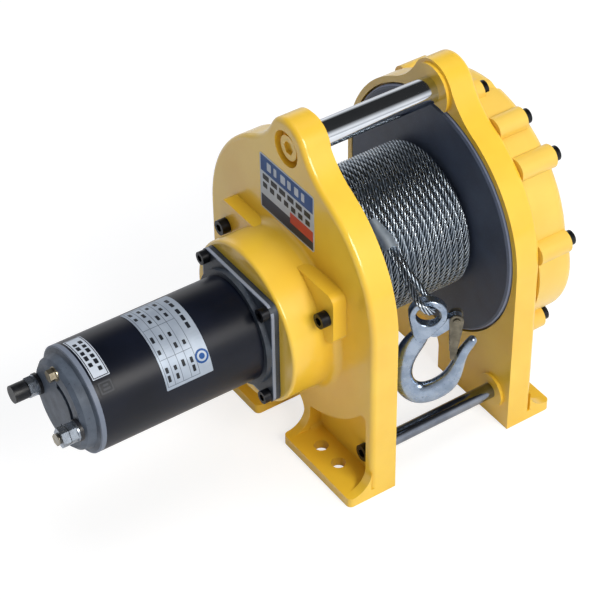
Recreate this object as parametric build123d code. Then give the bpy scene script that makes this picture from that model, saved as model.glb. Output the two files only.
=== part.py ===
from build123d import *
import math
import os

os.makedirs("parts", exist_ok=True)

# Frame: X runs along the drum from the motor end (-X) to the gear end (+X), the rope leaves
# toward -Y, Z is up, and the origin is the middle of the foot bolts on the mounting plane.
# All sizes are in millimetres.

# Clearances
RUN = 0.05  # radial clearance of a running fit
SEAT = 0.02  # clearance of a pressed or bolted seat
SLACK = 0.3  # clearance beside moving faces

# Side frames
FRAME_GAP = 103.0  # between the inner faces of the two side frames
FRAME_WALL = 21.3
FRAME_RIM = 6.3  # of the frame's shoulder outside the drum flange
LEG_RISE = 40.5  # from the mounting plane to the lowest point of the shoulder's circle
LOBE_WALL = 12.5  # round the upper tie rod
NECK_R = 60.0  # hollow blend between lobe and shoulder
EDGE_R = 4.0
ARCH_HALF = 17.5
ARCH_TOP = 38.0
POCKET_DEEP = 10.0
POCKET_BAND = 11.5  # from the shoulder's circle to the top arc of the lower pockets
RIM_W = 7.5  # width of the ribs left round the lower pockets
FOOT_REACH = 19.3  # how far a foot stands out past the frame
FOOT_T = 8.0
FOOT_CORNER = 4.0
FLARE_R = 16.0
FOOT_HOLE_R = 5.5
FOOT_HOLE_OUT = 3.2  # foot holes measured out from the frame's outer face
FOOT_HOLE_YS = (44.0, 66.0)
FLANGE_RECESS = 7.0

# Tie rods and their end screws
UPPER_ROD_R = 10.0
UPPER_ROD_PLAY = 0.6  # between the upper tie rod and the drum flange
LOWER_ROD_R = 6.0
LOWER_ROD_IN = 19.4  # lower rod's centre from the front of the frames
LOWER_ROD_Z = 26.3
ROD_SEAT = 9.0  # depth of the blind seat of a rod in each frame
UPPER_COLLAR_R = 19.5
LOWER_COLLAR_R = 13.5
COLLAR_T = 2.5
COUNTERBORE_R = 13.8
COUNTERBORE_DEEP = 7.0
SCREW_R = 4.0
UPPER_HEAD_R = 9.5
LOWER_HEAD_R = 6.5
HEAD_T = 5.0

# Drum and wound rope
DRUM_INNER = 99.0  # between the inner faces of the drum flanges
FLANGE_R = 96.2
FLANGE_T = 6.0
FLANGE_BEVEL = 2.5
BARREL_R = 32.0
BARREL_WALL = 6.5
ROPE_D = 5.0
ROPE_LAYERS = 5
JOURNAL_R = 22.0
LEFT_JOURNAL_L = 10.5
BUSH_T = 4.0

# Motor and its mounting
GEAR_OFFSET = 28.8  # the motor axis lies this far below the drum axis
HOUSING_R = 62.0
HOUSING_L = 37.9  # from the frame's outer face
HOUSING_ROOT_R = 6.0
HOUSING_EDGE_R = 2.5
HOUSING_WALL = 10.0
HOUSING_FACE_T = 6.0
LUG_T = 11.0
LUG_HALF_Y = 71.0
LUG_HALF_Z = 21.0
LUG_RISE = 6.0
LUG_BOLT_Y = 63.0
LUG_BOLT_R = 4.0
LUG_HEAD_R = 5.8
LUG_HEAD_T = 7.0
PLATE_SIDE = 88.7
PLATE_T = 6.0
PLATE_CORNER = 8.0
PLATE_COLLAR_R = 44.0
PLATE_COLLAR_T = 4.3
PLATE_SCREW = 38.1
PLATE_SCREW_R = 3.0
SOCKET_HEAD_R = 5.0
MOTOR_R = 40.0
MOTOR_WALL = 4.5
MOTOR_L = 131.0  # from the flange plate's front face to the end of the tube
CAP_T = 14.3
CAP_RIM_T = 3.5
CAP_BODY_R = 35.5
CAP_GROOVE_R = 16.5
CAP_GROOVE_W = 5.0
CAP_GROOVE_DEEP = 4.0
MOTOR_BOLT_R = 29.5  # circle of the two long bolts
MOTOR_BOLT_SHANK = 2.5
TERMINAL_Y = 28.0
TERMINAL_R = 4.0
SHAFT_R = 6.0
SHAFT_NOSE_R = 4.5
CORE_R = 24.0
CORE_FRONT = 22.0  # from the flange plate to the armature core
CORE_REAR = 37.0  # from the core to the end of the tube
SLOTS = 12
COMMUTATOR_R = 14.0
COMMUTATOR_L = 15.0
MAGNET_SPAN = 60.0  # half angle of a magnet
BEARING_R = 13.0

# Gears: two spur gears on the left, two planetary stages inside the cover on the right
SPUR_MODULE = 1.2
PINION_TEETH = 12
INPUT_TEETH = 36
SPUR_W = 9.0
PLANET_MODULE = 3.0
RING_TEETH = 48
SUN_A_TEETH = 12
PLANET_A_TEETH = 18
SUN_B_TEETH = 18
PLANET_B_TEETH = 15
PLANETS = 3
BACKLASH = 0.5
INPUT_R = 8.0
RING_WALL = 12.0
STAGE_A_W = 7.0
STAGE_B_W = 9.0
PIN_R = 6.0
CARRIER_R = 58.0
CARRIER_T = 3.5
SPLINE_R = 17.0

# Gear cover
COVER_SEAT = 12.0  # of the cover's wall round the ring gear
COVER_L = 32.0
COVER_WALL = 4.5
COVER_EDGE = 8.0
BULGE_R = 58.0
BULGE_Y = -45.0
BULGE_Z = -14.0  # from the drum axis
BOSS_R = 9.0
COVER_SCREW_R = 3.0
COVER_HEAD_R = 5.6
COVER_HEAD_T = 6.0
# Each boss of the cover: angle from +Y about the drum axis, place beyond the cover's radius,
# and how far its face lies below the cover's outer face
COVER_BOSSES = (
    (94.0, -1.0, 18.0),
    (116.0, 0.0, 7.0),
    (135.6, 0.0, 1.0),
    (173.7, 0.0, 5.0),
    (219.0, 8.5, 12.0),
    (262.0, -1.0, 12.0),
    (305.0, 0.0, 8.0),
    (348.0, 0.0, 8.0),
    (48.0, 0.0, 8.0),
)

# Rope end, hook and latch
TAIL_X = -26.8
TAIL_DROP = 28.8  # degrees below the horizontal
TAIL_REACH = 85.2  # from where the rope leaves the wraps to the end of its eye
TAIL_LEAD = 14.0  # degrees that the rope's end still lies on the wraps
LEG_PLAY = 0.4  # between the two legs of the eye in the ferrule
EYE_LEG = 43.5  # from the ferrule's mouth to the centre of the eye's bend
EYE_BREAK = 12.0  # from the mouth to where the legs part
EYE_CORNERS = 3
EYE_PLAY = 1.8  # more room in the rope's bend, because the rim passes it at a slant
LEG_IN_FERRULE = 5.0
FERRULE_WALL = 1.0
FERRULE_L = 24.5
FERRULE_STRAIGHT = 0.3  # share of the ferrule before it tapers
FERRULE_TOP_WALL = 0.8
HOOK_TURN = 33.75  # the hook faces this far round from -Y toward -X
HOOK_EYE_R = 13.6
HOOK_HOLE_R = 8.5
HOOK_EYE_T = 8.0
HOOK_EYE_EDGE = 1.5
HOOK_NECK = (-4.2, -15.0)  # lower end of the flat eye, across and up
HOOK_NECK_R = 7.0
HOOK_HANG = 1.2  # degrees that the hook is turned so that it hangs level with its own weight
# Stations of the hook from its neck to its tip: across, up, half width, half thickness
HOOK_STATIONS = (
    (-4.4, -15.0, 6.4, 3.6),
    (-8.8, -24.5, 7.6, 4.6),
    (-14.6, -36.0, 7.8, 5.2),
    (-17.6, -50.0, 7.0, 5.4),
    (-16.2, -64.0, 7.6, 5.5),
    (-6.5, -73.6, 9.2, 5.5),
    (6.0, -70.4, 8.6, 5.4),
    (15.6, -61.0, 7.2, 5.2),
    (20.8, -48.5, 5.2, 4.8),
    (24.8, -36.5, 4.2, 4.2),
    (30.8, -26.0, 3.4, 3.4),
)
EAR_T = 4.0
EAR_ROOT = (4.5, -15.0)  # where the latch's ear grows out of the neck
EAR_R = 4.2
LATCH_PIVOT = (19.6, -4.6)
LATCH_L = 33.0
LATCH_LEAN = -2.4
HOOK_SLANT = 15.0  # degrees from the top of the hook's eye to where the rope holds it
LATCH_T = 1.2
LATCH_W = 9.4
LATCH_TOP_R = 5.0
LATCH_TIP_R = 2.0
LATCH_PIN_R = 1.5
SPRING_WIRE = 1.2

# Values worked out from the sizes above
FRAME_HALF = FLANGE_R + FRAME_RIM  # half depth of a frame, and radius of its shoulder
DRUM_Z = FRAME_HALF + LEG_RISE
UPPER_ROD_RISE = FLANGE_R + UPPER_ROD_PLAY + UPPER_ROD_R
LOBE_R = UPPER_ROD_R + LOBE_WALL
POCKET_ARC_R = FRAME_HALF + POCKET_BAND
LOWER_ROD_Y = LOWER_ROD_IN - FRAME_HALF
CORE_L = MOTOR_L - CORE_FRONT - CORE_REAR
IN_X = FRAME_GAP / 2
OUT_X = IN_X + FRAME_WALL
RECESS_X = IN_X + FLANGE_RECESS
FOOT_X = OUT_X + FOOT_REACH
POCKET_X = OUT_X - POCKET_DEEP
LOBE_Z = DRUM_Z + UPPER_ROD_RISE
MOTOR_Z = DRUM_Z - GEAR_OFFSET
HOUSING_X = -OUT_X - HOUSING_L
PLATE_X = HOUSING_X - PLATE_T
TUBE_X = PLATE_X - MOTOR_L
CAP_X = TUBE_X - CAP_T
CAVITY_R = HOUSING_R - HOUSING_WALL
FLANGE_X = DRUM_INNER / 2
BARREL_END_X = FLANGE_X + FLANGE_T
WRAPS = int(DRUM_INNER / ROPE_D * 0.97)
PACK_R = BARREL_R + ROPE_LAYERS * ROPE_D
LEG_HALF = (ROPE_D + LEG_PLAY) / 2
HOOK_RIM = HOOK_EYE_R - HOOK_HOLE_R
RIM_ACROSS = math.hypot(HOOK_RIM / 2 - HOOK_EYE_EDGE, HOOK_EYE_T / 2 - HOOK_EYE_EDGE) + HOOK_EYE_EDGE
EYE_R = RIM_ACROSS + EYE_PLAY + ROPE_D / 2  # the rope's bend holds the rim of the hook's eye
COVER_X = OUT_X + COVER_L
RING_R = PLANET_MODULE * RING_TEETH / 2
RING_OUTER_R = RING_R + RING_WALL
COVER_R = RING_OUTER_R + COVER_SEAT
ORBIT_A = PLANET_MODULE * (SUN_A_TEETH + PLANET_A_TEETH) / 2
ORBIT_B = PLANET_MODULE * (SUN_B_TEETH + PLANET_B_TEETH) / 2


def across(x, y=0.0, z=DRUM_Z):
    """Plane facing +X at x, with its first direction along Y and its second along Z."""
    return Plane(origin=(x, y, z), x_dir=(0, 1, 0), z_dir=(1, 0, 0))


def disc(radius, x0, x1, y=0.0, z=DRUM_Z):
    """Cylinder along X between x0 and x1."""
    return extrude(across(min(x0, x1), y, z) * Circle(radius), abs(x1 - x0))


def tube(outer, inner, x0, x1, y=0.0, z=DRUM_Z):
    """Hollow cylinder along X."""
    return disc(outer, x0, x1, y, z) - disc(inner, x0, x1, y, z)


def turned(points, y=0.0, z=DRUM_Z):
    """Turned solid about an axis along X, from (x, radius) corner points."""
    plane = Plane(origin=(0, y, z), x_dir=(1, 0, 0), z_dir=(0, -1, 0))
    face = plane * Polygon(*points, align=None)
    return revolve(face, Axis((0, y, z), (1, 0, 0)), 360)


def block(x0, x1, y0, y1, z0, z1):
    """Box between two corners."""
    size = (abs(x1 - x0), abs(y1 - y0), abs(z1 - z0))
    return Pos((x0 + x1) / 2, (y0 + y1) / 2, (z0 + z1) / 2) * Box(*size)


def mirrored(shape):
    """The same shape on the other side of the drum."""
    return mirror(shape, Plane.YZ)


def polar(radius, degrees, z=DRUM_Z, y=0.0):
    """Point (y, z) at an angle from +Y about an axis along X."""
    angle = math.radians(degrees)
    return y + radius * math.cos(angle), z + radius * math.sin(angle)


def involute(angle):
    """Involute function of a pressure angle."""
    return math.tan(angle) - angle


def gear_outline(teeth, module, phase, inner=False):
    """Outline of a spur gear with straight-sided involute teeth; a tooth, or a gap of an
    inner gear, is centred on phase degrees from the first direction."""
    pitch_r = module * teeth / 2
    pressure = math.radians(20.0)
    base_r = pitch_r * math.cos(pressure)
    play = BACKLASH / 2 if inner else -BACKLASH / 2
    low, high = (0.8, 1.1) if inner else (1.1, 0.8)
    radii = (pitch_r - low * module, pitch_r, pitch_r + high * module)
    halves = []
    for radius in radii:
        roll = math.acos(min(1.0, base_r / radius))
        half = math.pi / 2 / teeth + involute(pressure) - involute(roll) + play / 2 / pitch_r
        halves.append(half)
    points = []
    for k in range(teeth):
        centre = math.radians(phase) + 2 * math.pi * k / teeth
        flank = [(radius, centre - half) for radius, half in zip(radii, halves)]
        flank += [(radius, centre + half) for radius, half in zip(radii[::-1], halves[::-1])]
        points += [(radius * math.cos(a), radius * math.sin(a)) for radius, a in flank]
    return Polygon(*points, align=None)


def spur(teeth, module, phase, x0, x1, bore, y=0.0, z=DRUM_Z):
    """Spur gear along X with a round bore."""
    body = extrude(across(min(x0, x1), y, z) * gear_outline(teeth, module, phase), abs(x1 - x0))
    return body - disc(bore, x0, x1, y, z)


def mesh_phase(teeth, other_teeth, other_phase, direction):
    """Phase of a gear that meshes with another one lying the other way along direction."""
    along = other_teeth * (direction - other_phase) / 360.0
    return direction + 180.0 - 360.0 / teeth * (0.5 - along)


def hexagon(flats, x0, x1, y, z):
    """Hexagon along X."""
    sketch = RegularPolygon(flats / 2, 6, major_radius=False)
    return extrude(across(min(x0, x1), y, z) * sketch, abs(x1 - x0))


def socket_screw(head_r, head_t, shank_r, head_x, tip_x, y, z):
    """Socket-head screw along X: its head stands from head_x away from tip_x."""
    out = math.copysign(1.0, head_x - tip_x)
    head = disc(head_r, head_x, head_x + out * head_t, y, z)
    socket_x = head_x + out * head_t
    socket = hexagon(head_r, socket_x - out * head_t * 0.55, socket_x, y, z)
    return head - socket + disc(shank_r, head_x, tip_x, y, z)


def save(shape, node):
    """Write one sub-part."""
    export_step(shape, f"parts/{node}.step")


# Side frames


def frame_outline():
    """Shoulder, straight legs and lobe of a side frame, seen along X."""
    outline = Circle(FRAME_HALF) + Pos(0, -DRUM_Z / 2) * Rectangle(2 * FRAME_HALF, DRUM_Z)
    outline += Pos(0, UPPER_ROD_RISE) * Circle(LOBE_R)
    waist = outline.vertices().filter_by(lambda v: v.Y > FRAME_HALF / 2)
    return fillet(waist, NECK_R)


def foot_flare(y0, y1):
    """Hollow gusset between the frame's outer face and the top of a foot."""
    corner = Pos(OUT_X + FLARE_R / 2, FOOT_T + FLARE_R / 2) * Rectangle(FLARE_R, FLARE_R)
    hollow = Pos(OUT_X + FLARE_R, FOOT_T + FLARE_R) * Circle(FLARE_R)
    plane = Plane(origin=(0, y1, 0), x_dir=(1, 0, 0), z_dir=(0, -1, 0))
    return extrude(plane * (corner - hollow), abs(y1 - y0))


def bare_frame():
    """What both castings share, on the +X side."""
    body = extrude(across(IN_X) * frame_outline(), FRAME_WALL)
    outer = body.faces().sort_by(Axis.X)[-1]
    rim = outer.edges().filter_by(lambda e: e.center().Z > EDGE_R)
    body = fillet(rim, EDGE_R)
    inner_y = ARCH_HALF + RIM_W
    outer_y = FRAME_HALF - RIM_W
    pocket = Pos((inner_y + outer_y) / 2, FOOT_T - DRUM_Z + POCKET_ARC_R / 2)
    pocket *= Rectangle(outer_y - inner_y, POCKET_ARC_R)
    pocket -= Circle(POCKET_ARC_R)
    pocket = fillet(pocket.vertices(), RIM_W / 2)
    pocket_cut = extrude(across(POCKET_X) * pocket, POCKET_DEEP)
    body -= pocket_cut + mirror(pocket_cut, Plane.XZ)
    for side in (-1, 1):
        foot = block(IN_X, FOOT_X, side * ARCH_HALF, side * FRAME_HALF, 0, FOOT_T)
        corners = foot.edges().filter_by(Axis.Z).sort_by(Axis.X)[-2:]
        foot = fillet(corners, FOOT_CORNER)
        near = sorted((side * ARCH_HALF, side * (ARCH_HALF + RIM_W)))
        far = sorted((side * (FRAME_HALF - RIM_W), side * FRAME_HALF))
        body += foot + foot_flare(*near) + foot_flare(*far)
        for hole_y in FOOT_HOLE_YS:
            hole = Pos(OUT_X + FOOT_HOLE_OUT, side * hole_y, FOOT_T / 2)
            body -= hole * Cylinder(FOOT_HOLE_R, FOOT_T * 2)
    arch = Pos(0, (ARCH_TOP - ARCH_HALF) / 2 - DRUM_Z) * Rectangle(2 * ARCH_HALF, ARCH_TOP - ARCH_HALF)
    arch += Pos(0, ARCH_TOP - ARCH_HALF - DRUM_Z) * Circle(ARCH_HALF)
    body -= extrude(across(IN_X) * arch, FRAME_WALL)
    body -= disc(FLANGE_R + 1.5, IN_X, RECESS_X)
    body += disc(UPPER_COLLAR_R, IN_X - COLLAR_T, RECESS_X, 0, LOBE_Z) - disc(FLANGE_R + 1.5, 0, RECESS_X)
    body += disc(LOWER_COLLAR_R, IN_X - COLLAR_T, IN_X, LOWER_ROD_Y, LOWER_ROD_Z)
    for rod_r, y, z in ((UPPER_ROD_R, 0, LOBE_Z), (LOWER_ROD_R, LOWER_ROD_Y, LOWER_ROD_Z)):
        body -= disc(rod_r + SEAT, 0, IN_X + ROD_SEAT, y, z)
        body -= disc(SCREW_R + SEAT, IN_X, OUT_X, y, z)
    return body - disc(COUNTERBORE_R, OUT_X - COUNTERBORE_DEEP, OUT_X, 0, LOBE_Z)


CARRIER_PLATE_R = 80.0
CARRIER_PLATE_T = 8.5
CARRIER_PLATE_DROP = 12.0
PLATE_POCKET_X = -RECESS_X - CARRIER_PLATE_T - SEAT


def left_frame(bare):
    """Motor-side frame with its round gear housing and the two bolt lugs."""
    body = mirrored(bare)
    housing = disc(HOUSING_R, HOUSING_X, -OUT_X, 0, MOTOR_Z)
    front = housing.edges().filter_by(GeomType.CIRCLE).sort_by(Axis.X)[0]
    housing = fillet(front, HOUSING_EDGE_R)
    root = HOUSING_ROOT_R
    corner = Pos(-OUT_X - root / 2, (HOUSING_R + root) / 2) * Rectangle(root, HOUSING_R + root)
    corner -= Pos(-OUT_X - root, HOUSING_R + root) * Circle(root)
    plane = Plane(origin=(0, 0, MOTOR_Z), x_dir=(1, 0, 0), z_dir=(0, -1, 0))
    skirt = revolve(plane * corner, Axis((0, 0, MOTOR_Z), (1, 0, 0)), 360)
    lugs = block(-OUT_X - LUG_T, -OUT_X, -LUG_HALF_Y, LUG_HALF_Y, -LUG_HALF_Z, LUG_HALF_Z)
    lugs = Pos(0, 0, DRUM_Z + LUG_RISE) * fillet(lugs.edges().filter_by(Axis.X), 7.0)
    body += housing + skirt + lugs
    body -= disc(CAVITY_R, HOUSING_X + HOUSING_FACE_T, PLATE_POCKET_X, 0, MOTOR_Z)
    body -= disc(CARRIER_PLATE_R, PLATE_POCKET_X, -RECESS_X, 0, DRUM_Z - CARRIER_PLATE_DROP)
    body += disc(BEARING_R + 3, HOUSING_X + HOUSING_FACE_T / 2, HOUSING_X + HOUSING_FACE_T + 7)
    body -= disc(INPUT_R + BUSH_T - 1, HOUSING_X + HOUSING_FACE_T, HOUSING_X + HOUSING_FACE_T + 7)
    body -= disc(PILOT_R, HOUSING_X, HOUSING_X + HOUSING_FACE_T, 0, MOTOR_Z)
    for side in (-1, 1):
        y, z = side * LUG_BOLT_Y, DRUM_Z + LUG_RISE
        body -= disc(LUG_BOLT_R + SEAT, -OUT_X - LUG_T, PLATE_POCKET_X, y, z)
        for up in (-1, 1):
            y, z = side * PLATE_SCREW, MOTOR_Z + up * PLATE_SCREW
            body -= disc(PLATE_SCREW_R + SEAT, HOUSING_X, HOUSING_X + HOUSING_FACE_T, y, z)
    return body


PILOT_R = 11.5
RIGHT_JOURNAL_R = 30.0


def right_frame(bare):
    """Gear-side frame with the drum's large bore and the cover's screw holes."""
    body = bare - disc(RIGHT_JOURNAL_R + BUSH_T, 0, OUT_X)
    for angle, beyond, _ in COVER_BOSSES:
        y, z = polar(COVER_R + beyond, angle)
        body -= disc(COVER_SCREW_R + SEAT, OUT_X - 10, OUT_X, y, z)
    return body


def bearing_plate():
    """Plate that closes the gear housing from the drum side and carries the left bush."""
    z = DRUM_Z - CARRIER_PLATE_DROP
    body = disc(CARRIER_PLATE_R - SEAT, -RECESS_X - SEAT - CARRIER_PLATE_T, -RECESS_X - SEAT, 0, z)
    body -= disc(JOURNAL_R + BUSH_T, -OUT_X, 0)
    for side in (-1, 1):
        body -= disc(LUG_BOLT_R + SEAT, -OUT_X, 0, side * LUG_BOLT_Y, DRUM_Z + LUG_RISE)
    return body


def bearing_plate_bolts():
    """The two bolts in the lugs, screwed into the bearing plate."""
    head_x = -OUT_X - LUG_T
    bolts = [
        socket_screw(
            LUG_HEAD_R, LUG_HEAD_T, LUG_BOLT_R, head_x, -RECESS_X - 1, side * LUG_BOLT_Y, DRUM_Z + LUG_RISE
        )
        for side in (-1, 1)
    ]
    return Compound(children=bolts)


def tie_rod(radius, y, z):
    """Round bar seated in both frames, tapped for an end screw at each end."""
    reach = IN_X + ROD_SEAT
    tap = SCREW_R + SEAT
    bar = disc(radius, -reach, reach, y, z)
    return bar - disc(tap, reach - 12, reach, y, z) - disc(tap, -reach, -reach + 12, y, z)


def end_screws(head_r, seat_x, y, z):
    """The pair of screws that pull the frames onto one tie rod."""
    tip = IN_X + ROD_SEAT - 11
    right = socket_screw(head_r, HEAD_T, SCREW_R, seat_x, tip, y, z)
    return Compound(children=[right, mirrored(right)])


def build_frames():
    bare = bare_frame()
    save(left_frame(bare), "left_side_frame")
    save(right_frame(bare), "right_side_frame")
    save(bearing_plate(), "left_bearing_plate")
    save(bearing_plate_bolts(), "bearing_plate_bolts")
    save(tie_rod(UPPER_ROD_R, 0, LOBE_Z), "upper_tie_rod")
    save(tie_rod(LOWER_ROD_R, LOWER_ROD_Y, LOWER_ROD_Z), "lower_tie_rod")
    save(end_screws(UPPER_HEAD_R, OUT_X - COUNTERBORE_DEEP, 0, LOBE_Z), "upper_rod_screws")
    save(end_screws(LOWER_HEAD_R, POCKET_X, LOWER_ROD_Y, LOWER_ROD_Z), "lower_rod_screws")


# Motor


def motor_flange():
    """Square die-cast plate with the collar that holds the motor tube."""
    sketch = RectangleRounded(PLATE_SIDE, PLATE_SIDE, PLATE_CORNER)
    body = extrude(across(PLATE_X, 0, MOTOR_Z) * sketch, PLATE_T)
    body += disc(PLATE_COLLAR_R, PLATE_X - PLATE_COLLAR_T, PLATE_X, 0, MOTOR_Z)
    body -= disc(MOTOR_R + SEAT, PLATE_X - PLATE_COLLAR_T, PLATE_X, 0, MOTOR_Z)
    body += disc(PILOT_R - SEAT, HOUSING_X, HOUSING_X + HOUSING_FACE_T - 1, 0, MOTOR_Z)
    body -= disc(SHAFT_R + 1.0, PLATE_X, 0, 0, MOTOR_Z)
    body -= disc(BEARING_R - 3, PLATE_X, PLATE_X + PLATE_T, 0, MOTOR_Z)
    for up in (-1, 1):
        body -= disc(MOTOR_BOLT_SHANK, PLATE_X, HOUSING_X, 0, MOTOR_Z + up * MOTOR_BOLT_R)
        for side in (-1, 1):
            y, z = side * PLATE_SCREW, MOTOR_Z + up * PLATE_SCREW
            body -= disc(PLATE_SCREW_R + SEAT, PLATE_X, HOUSING_X, y, z)
    return body


def flange_screws():
    """Four socket screws through the flange plate into the housing's face."""
    tip = HOUSING_X + HOUSING_FACE_T
    screws = []
    for side in (-1, 1):
        for up in (-1, 1):
            y, z = side * PLATE_SCREW, MOTOR_Z + up * PLATE_SCREW
            screws.append(socket_screw(SOCKET_HEAD_R, 6.0, PLATE_SCREW_R, PLATE_X, tip, y, z))
    return Compound(children=screws)


def end_cap():
    """Die-cast rear cap: bright rim, stepped body, sunk arc and bolt seats."""
    step = CAP_X + 3.0
    body = turned(
        (
            (TUBE_X, 0),
            (TUBE_X, MOTOR_R),
            (TUBE_X - CAP_RIM_T, MOTOR_R),
            (TUBE_X - CAP_RIM_T - 1.5, CAP_BODY_R),
            (step, CAP_BODY_R - 1.5),
            (CAP_X, CAP_BODY_R - 4.5),
            (CAP_X, 0),
        ),
        0,
        MOTOR_Z,
    )
    arc = Circle(CAP_GROOVE_R + CAP_GROOVE_W) - Circle(CAP_GROOVE_R)
    arc -= Pos(25, 0) * Rectangle(50, 60)
    body -= extrude(across(CAP_X, 0, MOTOR_Z) * arc, CAP_GROOVE_DEEP)
    body -= disc(BEARING_R - 2, TUBE_X - 7, TUBE_X, 0, MOTOR_Z)
    for up in (-1, 1):
        body -= disc(MOTOR_BOLT_SHANK + SEAT, CAP_X, TUBE_X, 0, MOTOR_Z + up * MOTOR_BOLT_R)
        body -= disc(TERMINAL_R + SEAT, CAP_X, TUBE_X, up * TERMINAL_Y, MOTOR_Z)
    return body


def through_bolts():
    """Two long hexagon bolts that hold cap, tube and flange together."""
    bolts = []
    for up in (-1, 1):
        z = MOTOR_Z + up * MOTOR_BOLT_R
        head = hexagon(8.0, CAP_X - 5.5, CAP_X - 1.0, 0, z)
        washer = disc(5.4, CAP_X - 1.0, CAP_X, 0, z)
        bolts.append(head + washer + disc(MOTOR_BOLT_SHANK, CAP_X, PLATE_X + 4, 0, z))
    return Compound(children=bolts)


def motor_magnets():
    """Two curved magnets inside the tube."""
    outer = MOTOR_R - MOTOR_WALL - SEAT
    x0 = PLATE_X - CORE_FRONT - 2 - CORE_L
    x1 = PLATE_X - CORE_FRONT + 2
    ring = Circle(outer) - Circle(CORE_R + 1.2)
    far = 2 * outer
    rise = far * math.tan(math.radians(MAGNET_SPAN))
    keep = Polygon((0, 0), (far, rise), (far, -rise), align=None)
    half = extrude(across(x0, 0, MOTOR_Z) * (ring & keep), x1 - x0)
    return Compound(children=[half, mirror(half, Plane.XZ)])


BRUSH_X = TUBE_X + 12.0
BRUSH_W = 7.0
BRUSH_L = 9.0


def brush_holder():
    """Insulating ring with two brush boxes."""
    z = MOTOR_Z
    body = tube(MOTOR_R - MOTOR_WALL - SEAT, COMMUTATOR_R + 3, TUBE_X + 4, TUBE_X + 6, 0, z)
    for side in (-1, 1):
        y0, y1 = side * (COMMUTATOR_R + 3), side * (MOTOR_R - MOTOR_WALL - 1.5)
        box_w = BRUSH_W + 3
        box = block(TUBE_X + 6, BRUSH_X + box_w / 2, y0, y1, z - box_w / 2, z + box_w / 2)
        y_in = side * (COMMUTATOR_R + 2)
        hole = BRUSH_W / 2 + SEAT
        body += box - block(BRUSH_X - hole, BRUSH_X + hole, y_in, y1 - side * 1.2, z - hole, z + hole)
        body -= disc(MOTOR_BOLT_SHANK + 0.5, TUBE_X, 0, 0, z + side * MOTOR_BOLT_R)
        body -= disc(TERMINAL_R + 1, TUBE_X, TUBE_X + 5.9, side * TERMINAL_Y, z)
    return body


def brushes():
    """Two carbon brushes on the commutator."""
    half = BRUSH_W / 2
    y0 = COMMUTATOR_R + RUN
    pair = [
        block(BRUSH_X - half, BRUSH_X + half, side * y0, side * (y0 + BRUSH_L), MOTOR_Z - half, MOTOR_Z + half)
        for side in (-1, 1)
    ]
    return Compound(children=pair)


def brush_springs():
    """Springs that press the brushes, drawn as their outer cylinders."""
    y0 = COMMUTATOR_R + RUN + BRUSH_L
    length = MOTOR_R - MOTOR_WALL - 1.5 - 1.2 - y0
    springs = [
        Pos(BRUSH_X, side * (y0 + length / 2), MOTOR_Z) * Rot(90, 0, 0) * Cylinder(2.6, length)
        for side in (-1, 1)
    ]
    return Compound(children=springs)


def terminal_studs():
    """Two threaded studs through the cap."""
    studs = [
        disc(TERMINAL_R, CAP_X - 17.5, TUBE_X + 3.8, side * TERMINAL_Y, MOTOR_Z) for side in (-1, 1)
    ]
    return Compound(children=studs)


def terminal_ring(radius, x0, x1, side):
    """Washer or insulator round one stud."""
    return tube(radius, TERMINAL_R, x0, x1, side * TERMINAL_Y, MOTOR_Z)


def terminal_nuts():
    """Two bright nuts on the front stud and one on the rear one."""
    nuts = []
    for side, start in ((-1, 4.0), (-1, 10.0), (1, 4.0)):
        z, y = MOTOR_Z, side * TERMINAL_Y
        x1 = CAP_X - start
        nut = hexagon(13.0, x1 - 5.5, x1, y, z) - disc(TERMINAL_R, x1 - 5.5, x1, y, z)
        nuts.append(nut)
    return Compound(children=nuts)


def terminal_sleeve():
    """Black cap nut on the rear stud."""
    y = TERMINAL_Y
    body = disc(6.6, CAP_X - 21.0, CAP_X - 10.0, y, MOTOR_Z)
    return body - disc(TERMINAL_R, CAP_X - 17.5, CAP_X - 10.0, y, MOTOR_Z)


def armature_core():
    """Laminated core with open slots."""
    x1 = PLATE_X - CORE_FRONT
    body = disc(CORE_R, x1 - CORE_L, x1, 0, MOTOR_Z) - disc(SHAFT_R, x1 - CORE_L, x1, 0, MOTOR_Z)
    slot = block(x1 - CORE_L, x1, CORE_R - 8, CORE_R + 1, -1.5, 1.5)
    for k in range(SLOTS):
        body -= Pos(0, 0, MOTOR_Z) * Rot(360 / SLOTS * k, 0, 0) * slot
    return body


def build_motor():
    z = MOTOR_Z
    save(motor_flange(), "motor_flange")
    save(flange_screws(), "motor_flange_screws")
    seat_x = PLATE_X - SEAT
    save(tube(MOTOR_R, MOTOR_R - MOTOR_WALL, TUBE_X + SEAT, seat_x, 0, z), "motor_tube")
    save(end_cap(), "motor_end_cap")
    save(through_bolts(), "motor_through_bolts")
    save(motor_magnets(), "motor_magnets")
    save(brush_holder(), "brush_holder")
    save(brushes(), "carbon_brushes")
    save(brush_springs(), "brush_springs")
    save(terminal_studs(), "terminal_studs")
    rings = [terminal_ring(8.0, CAP_X - 2.5, CAP_X, side) for side in (-1, 1)]
    save(Compound(children=rings), "terminal_insulators")
    rings = [terminal_ring(7.4, CAP_X - 4.0, CAP_X - 2.5, side) for side in (-1, 1)]
    save(Compound(children=rings), "terminal_washers")
    save(terminal_nuts(), "terminal_nuts")
    save(terminal_sleeve(), "terminal_cap_nut")
    save(tube(BEARING_R - 2, SHAFT_R + RUN, TUBE_X - 7, TUBE_X - 0.5, 0, z), "rear_motor_bearing")
    save(tube(BEARING_R - 3, SHAFT_R + RUN, PLATE_X, PLATE_X + PLATE_T, 0, z), "front_motor_bearing")
    shaft = disc(SHAFT_R, TUBE_X - 6.5, GEAR_X - 1, 0, z)
    save(shaft + disc(SHAFT_NOSE_R, GEAR_X - 1, GEAR_X + SPUR_W, 0, z), "armature_shaft")
    save(armature_core(), "armature_core")
    x0 = BRUSH_X - COMMUTATOR_L / 2
    save(tube(COMMUTATOR_R, SHAFT_R, x0, x0 + COMMUTATOR_L, 0, z), "commutator")


# Gears and shafts

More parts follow.
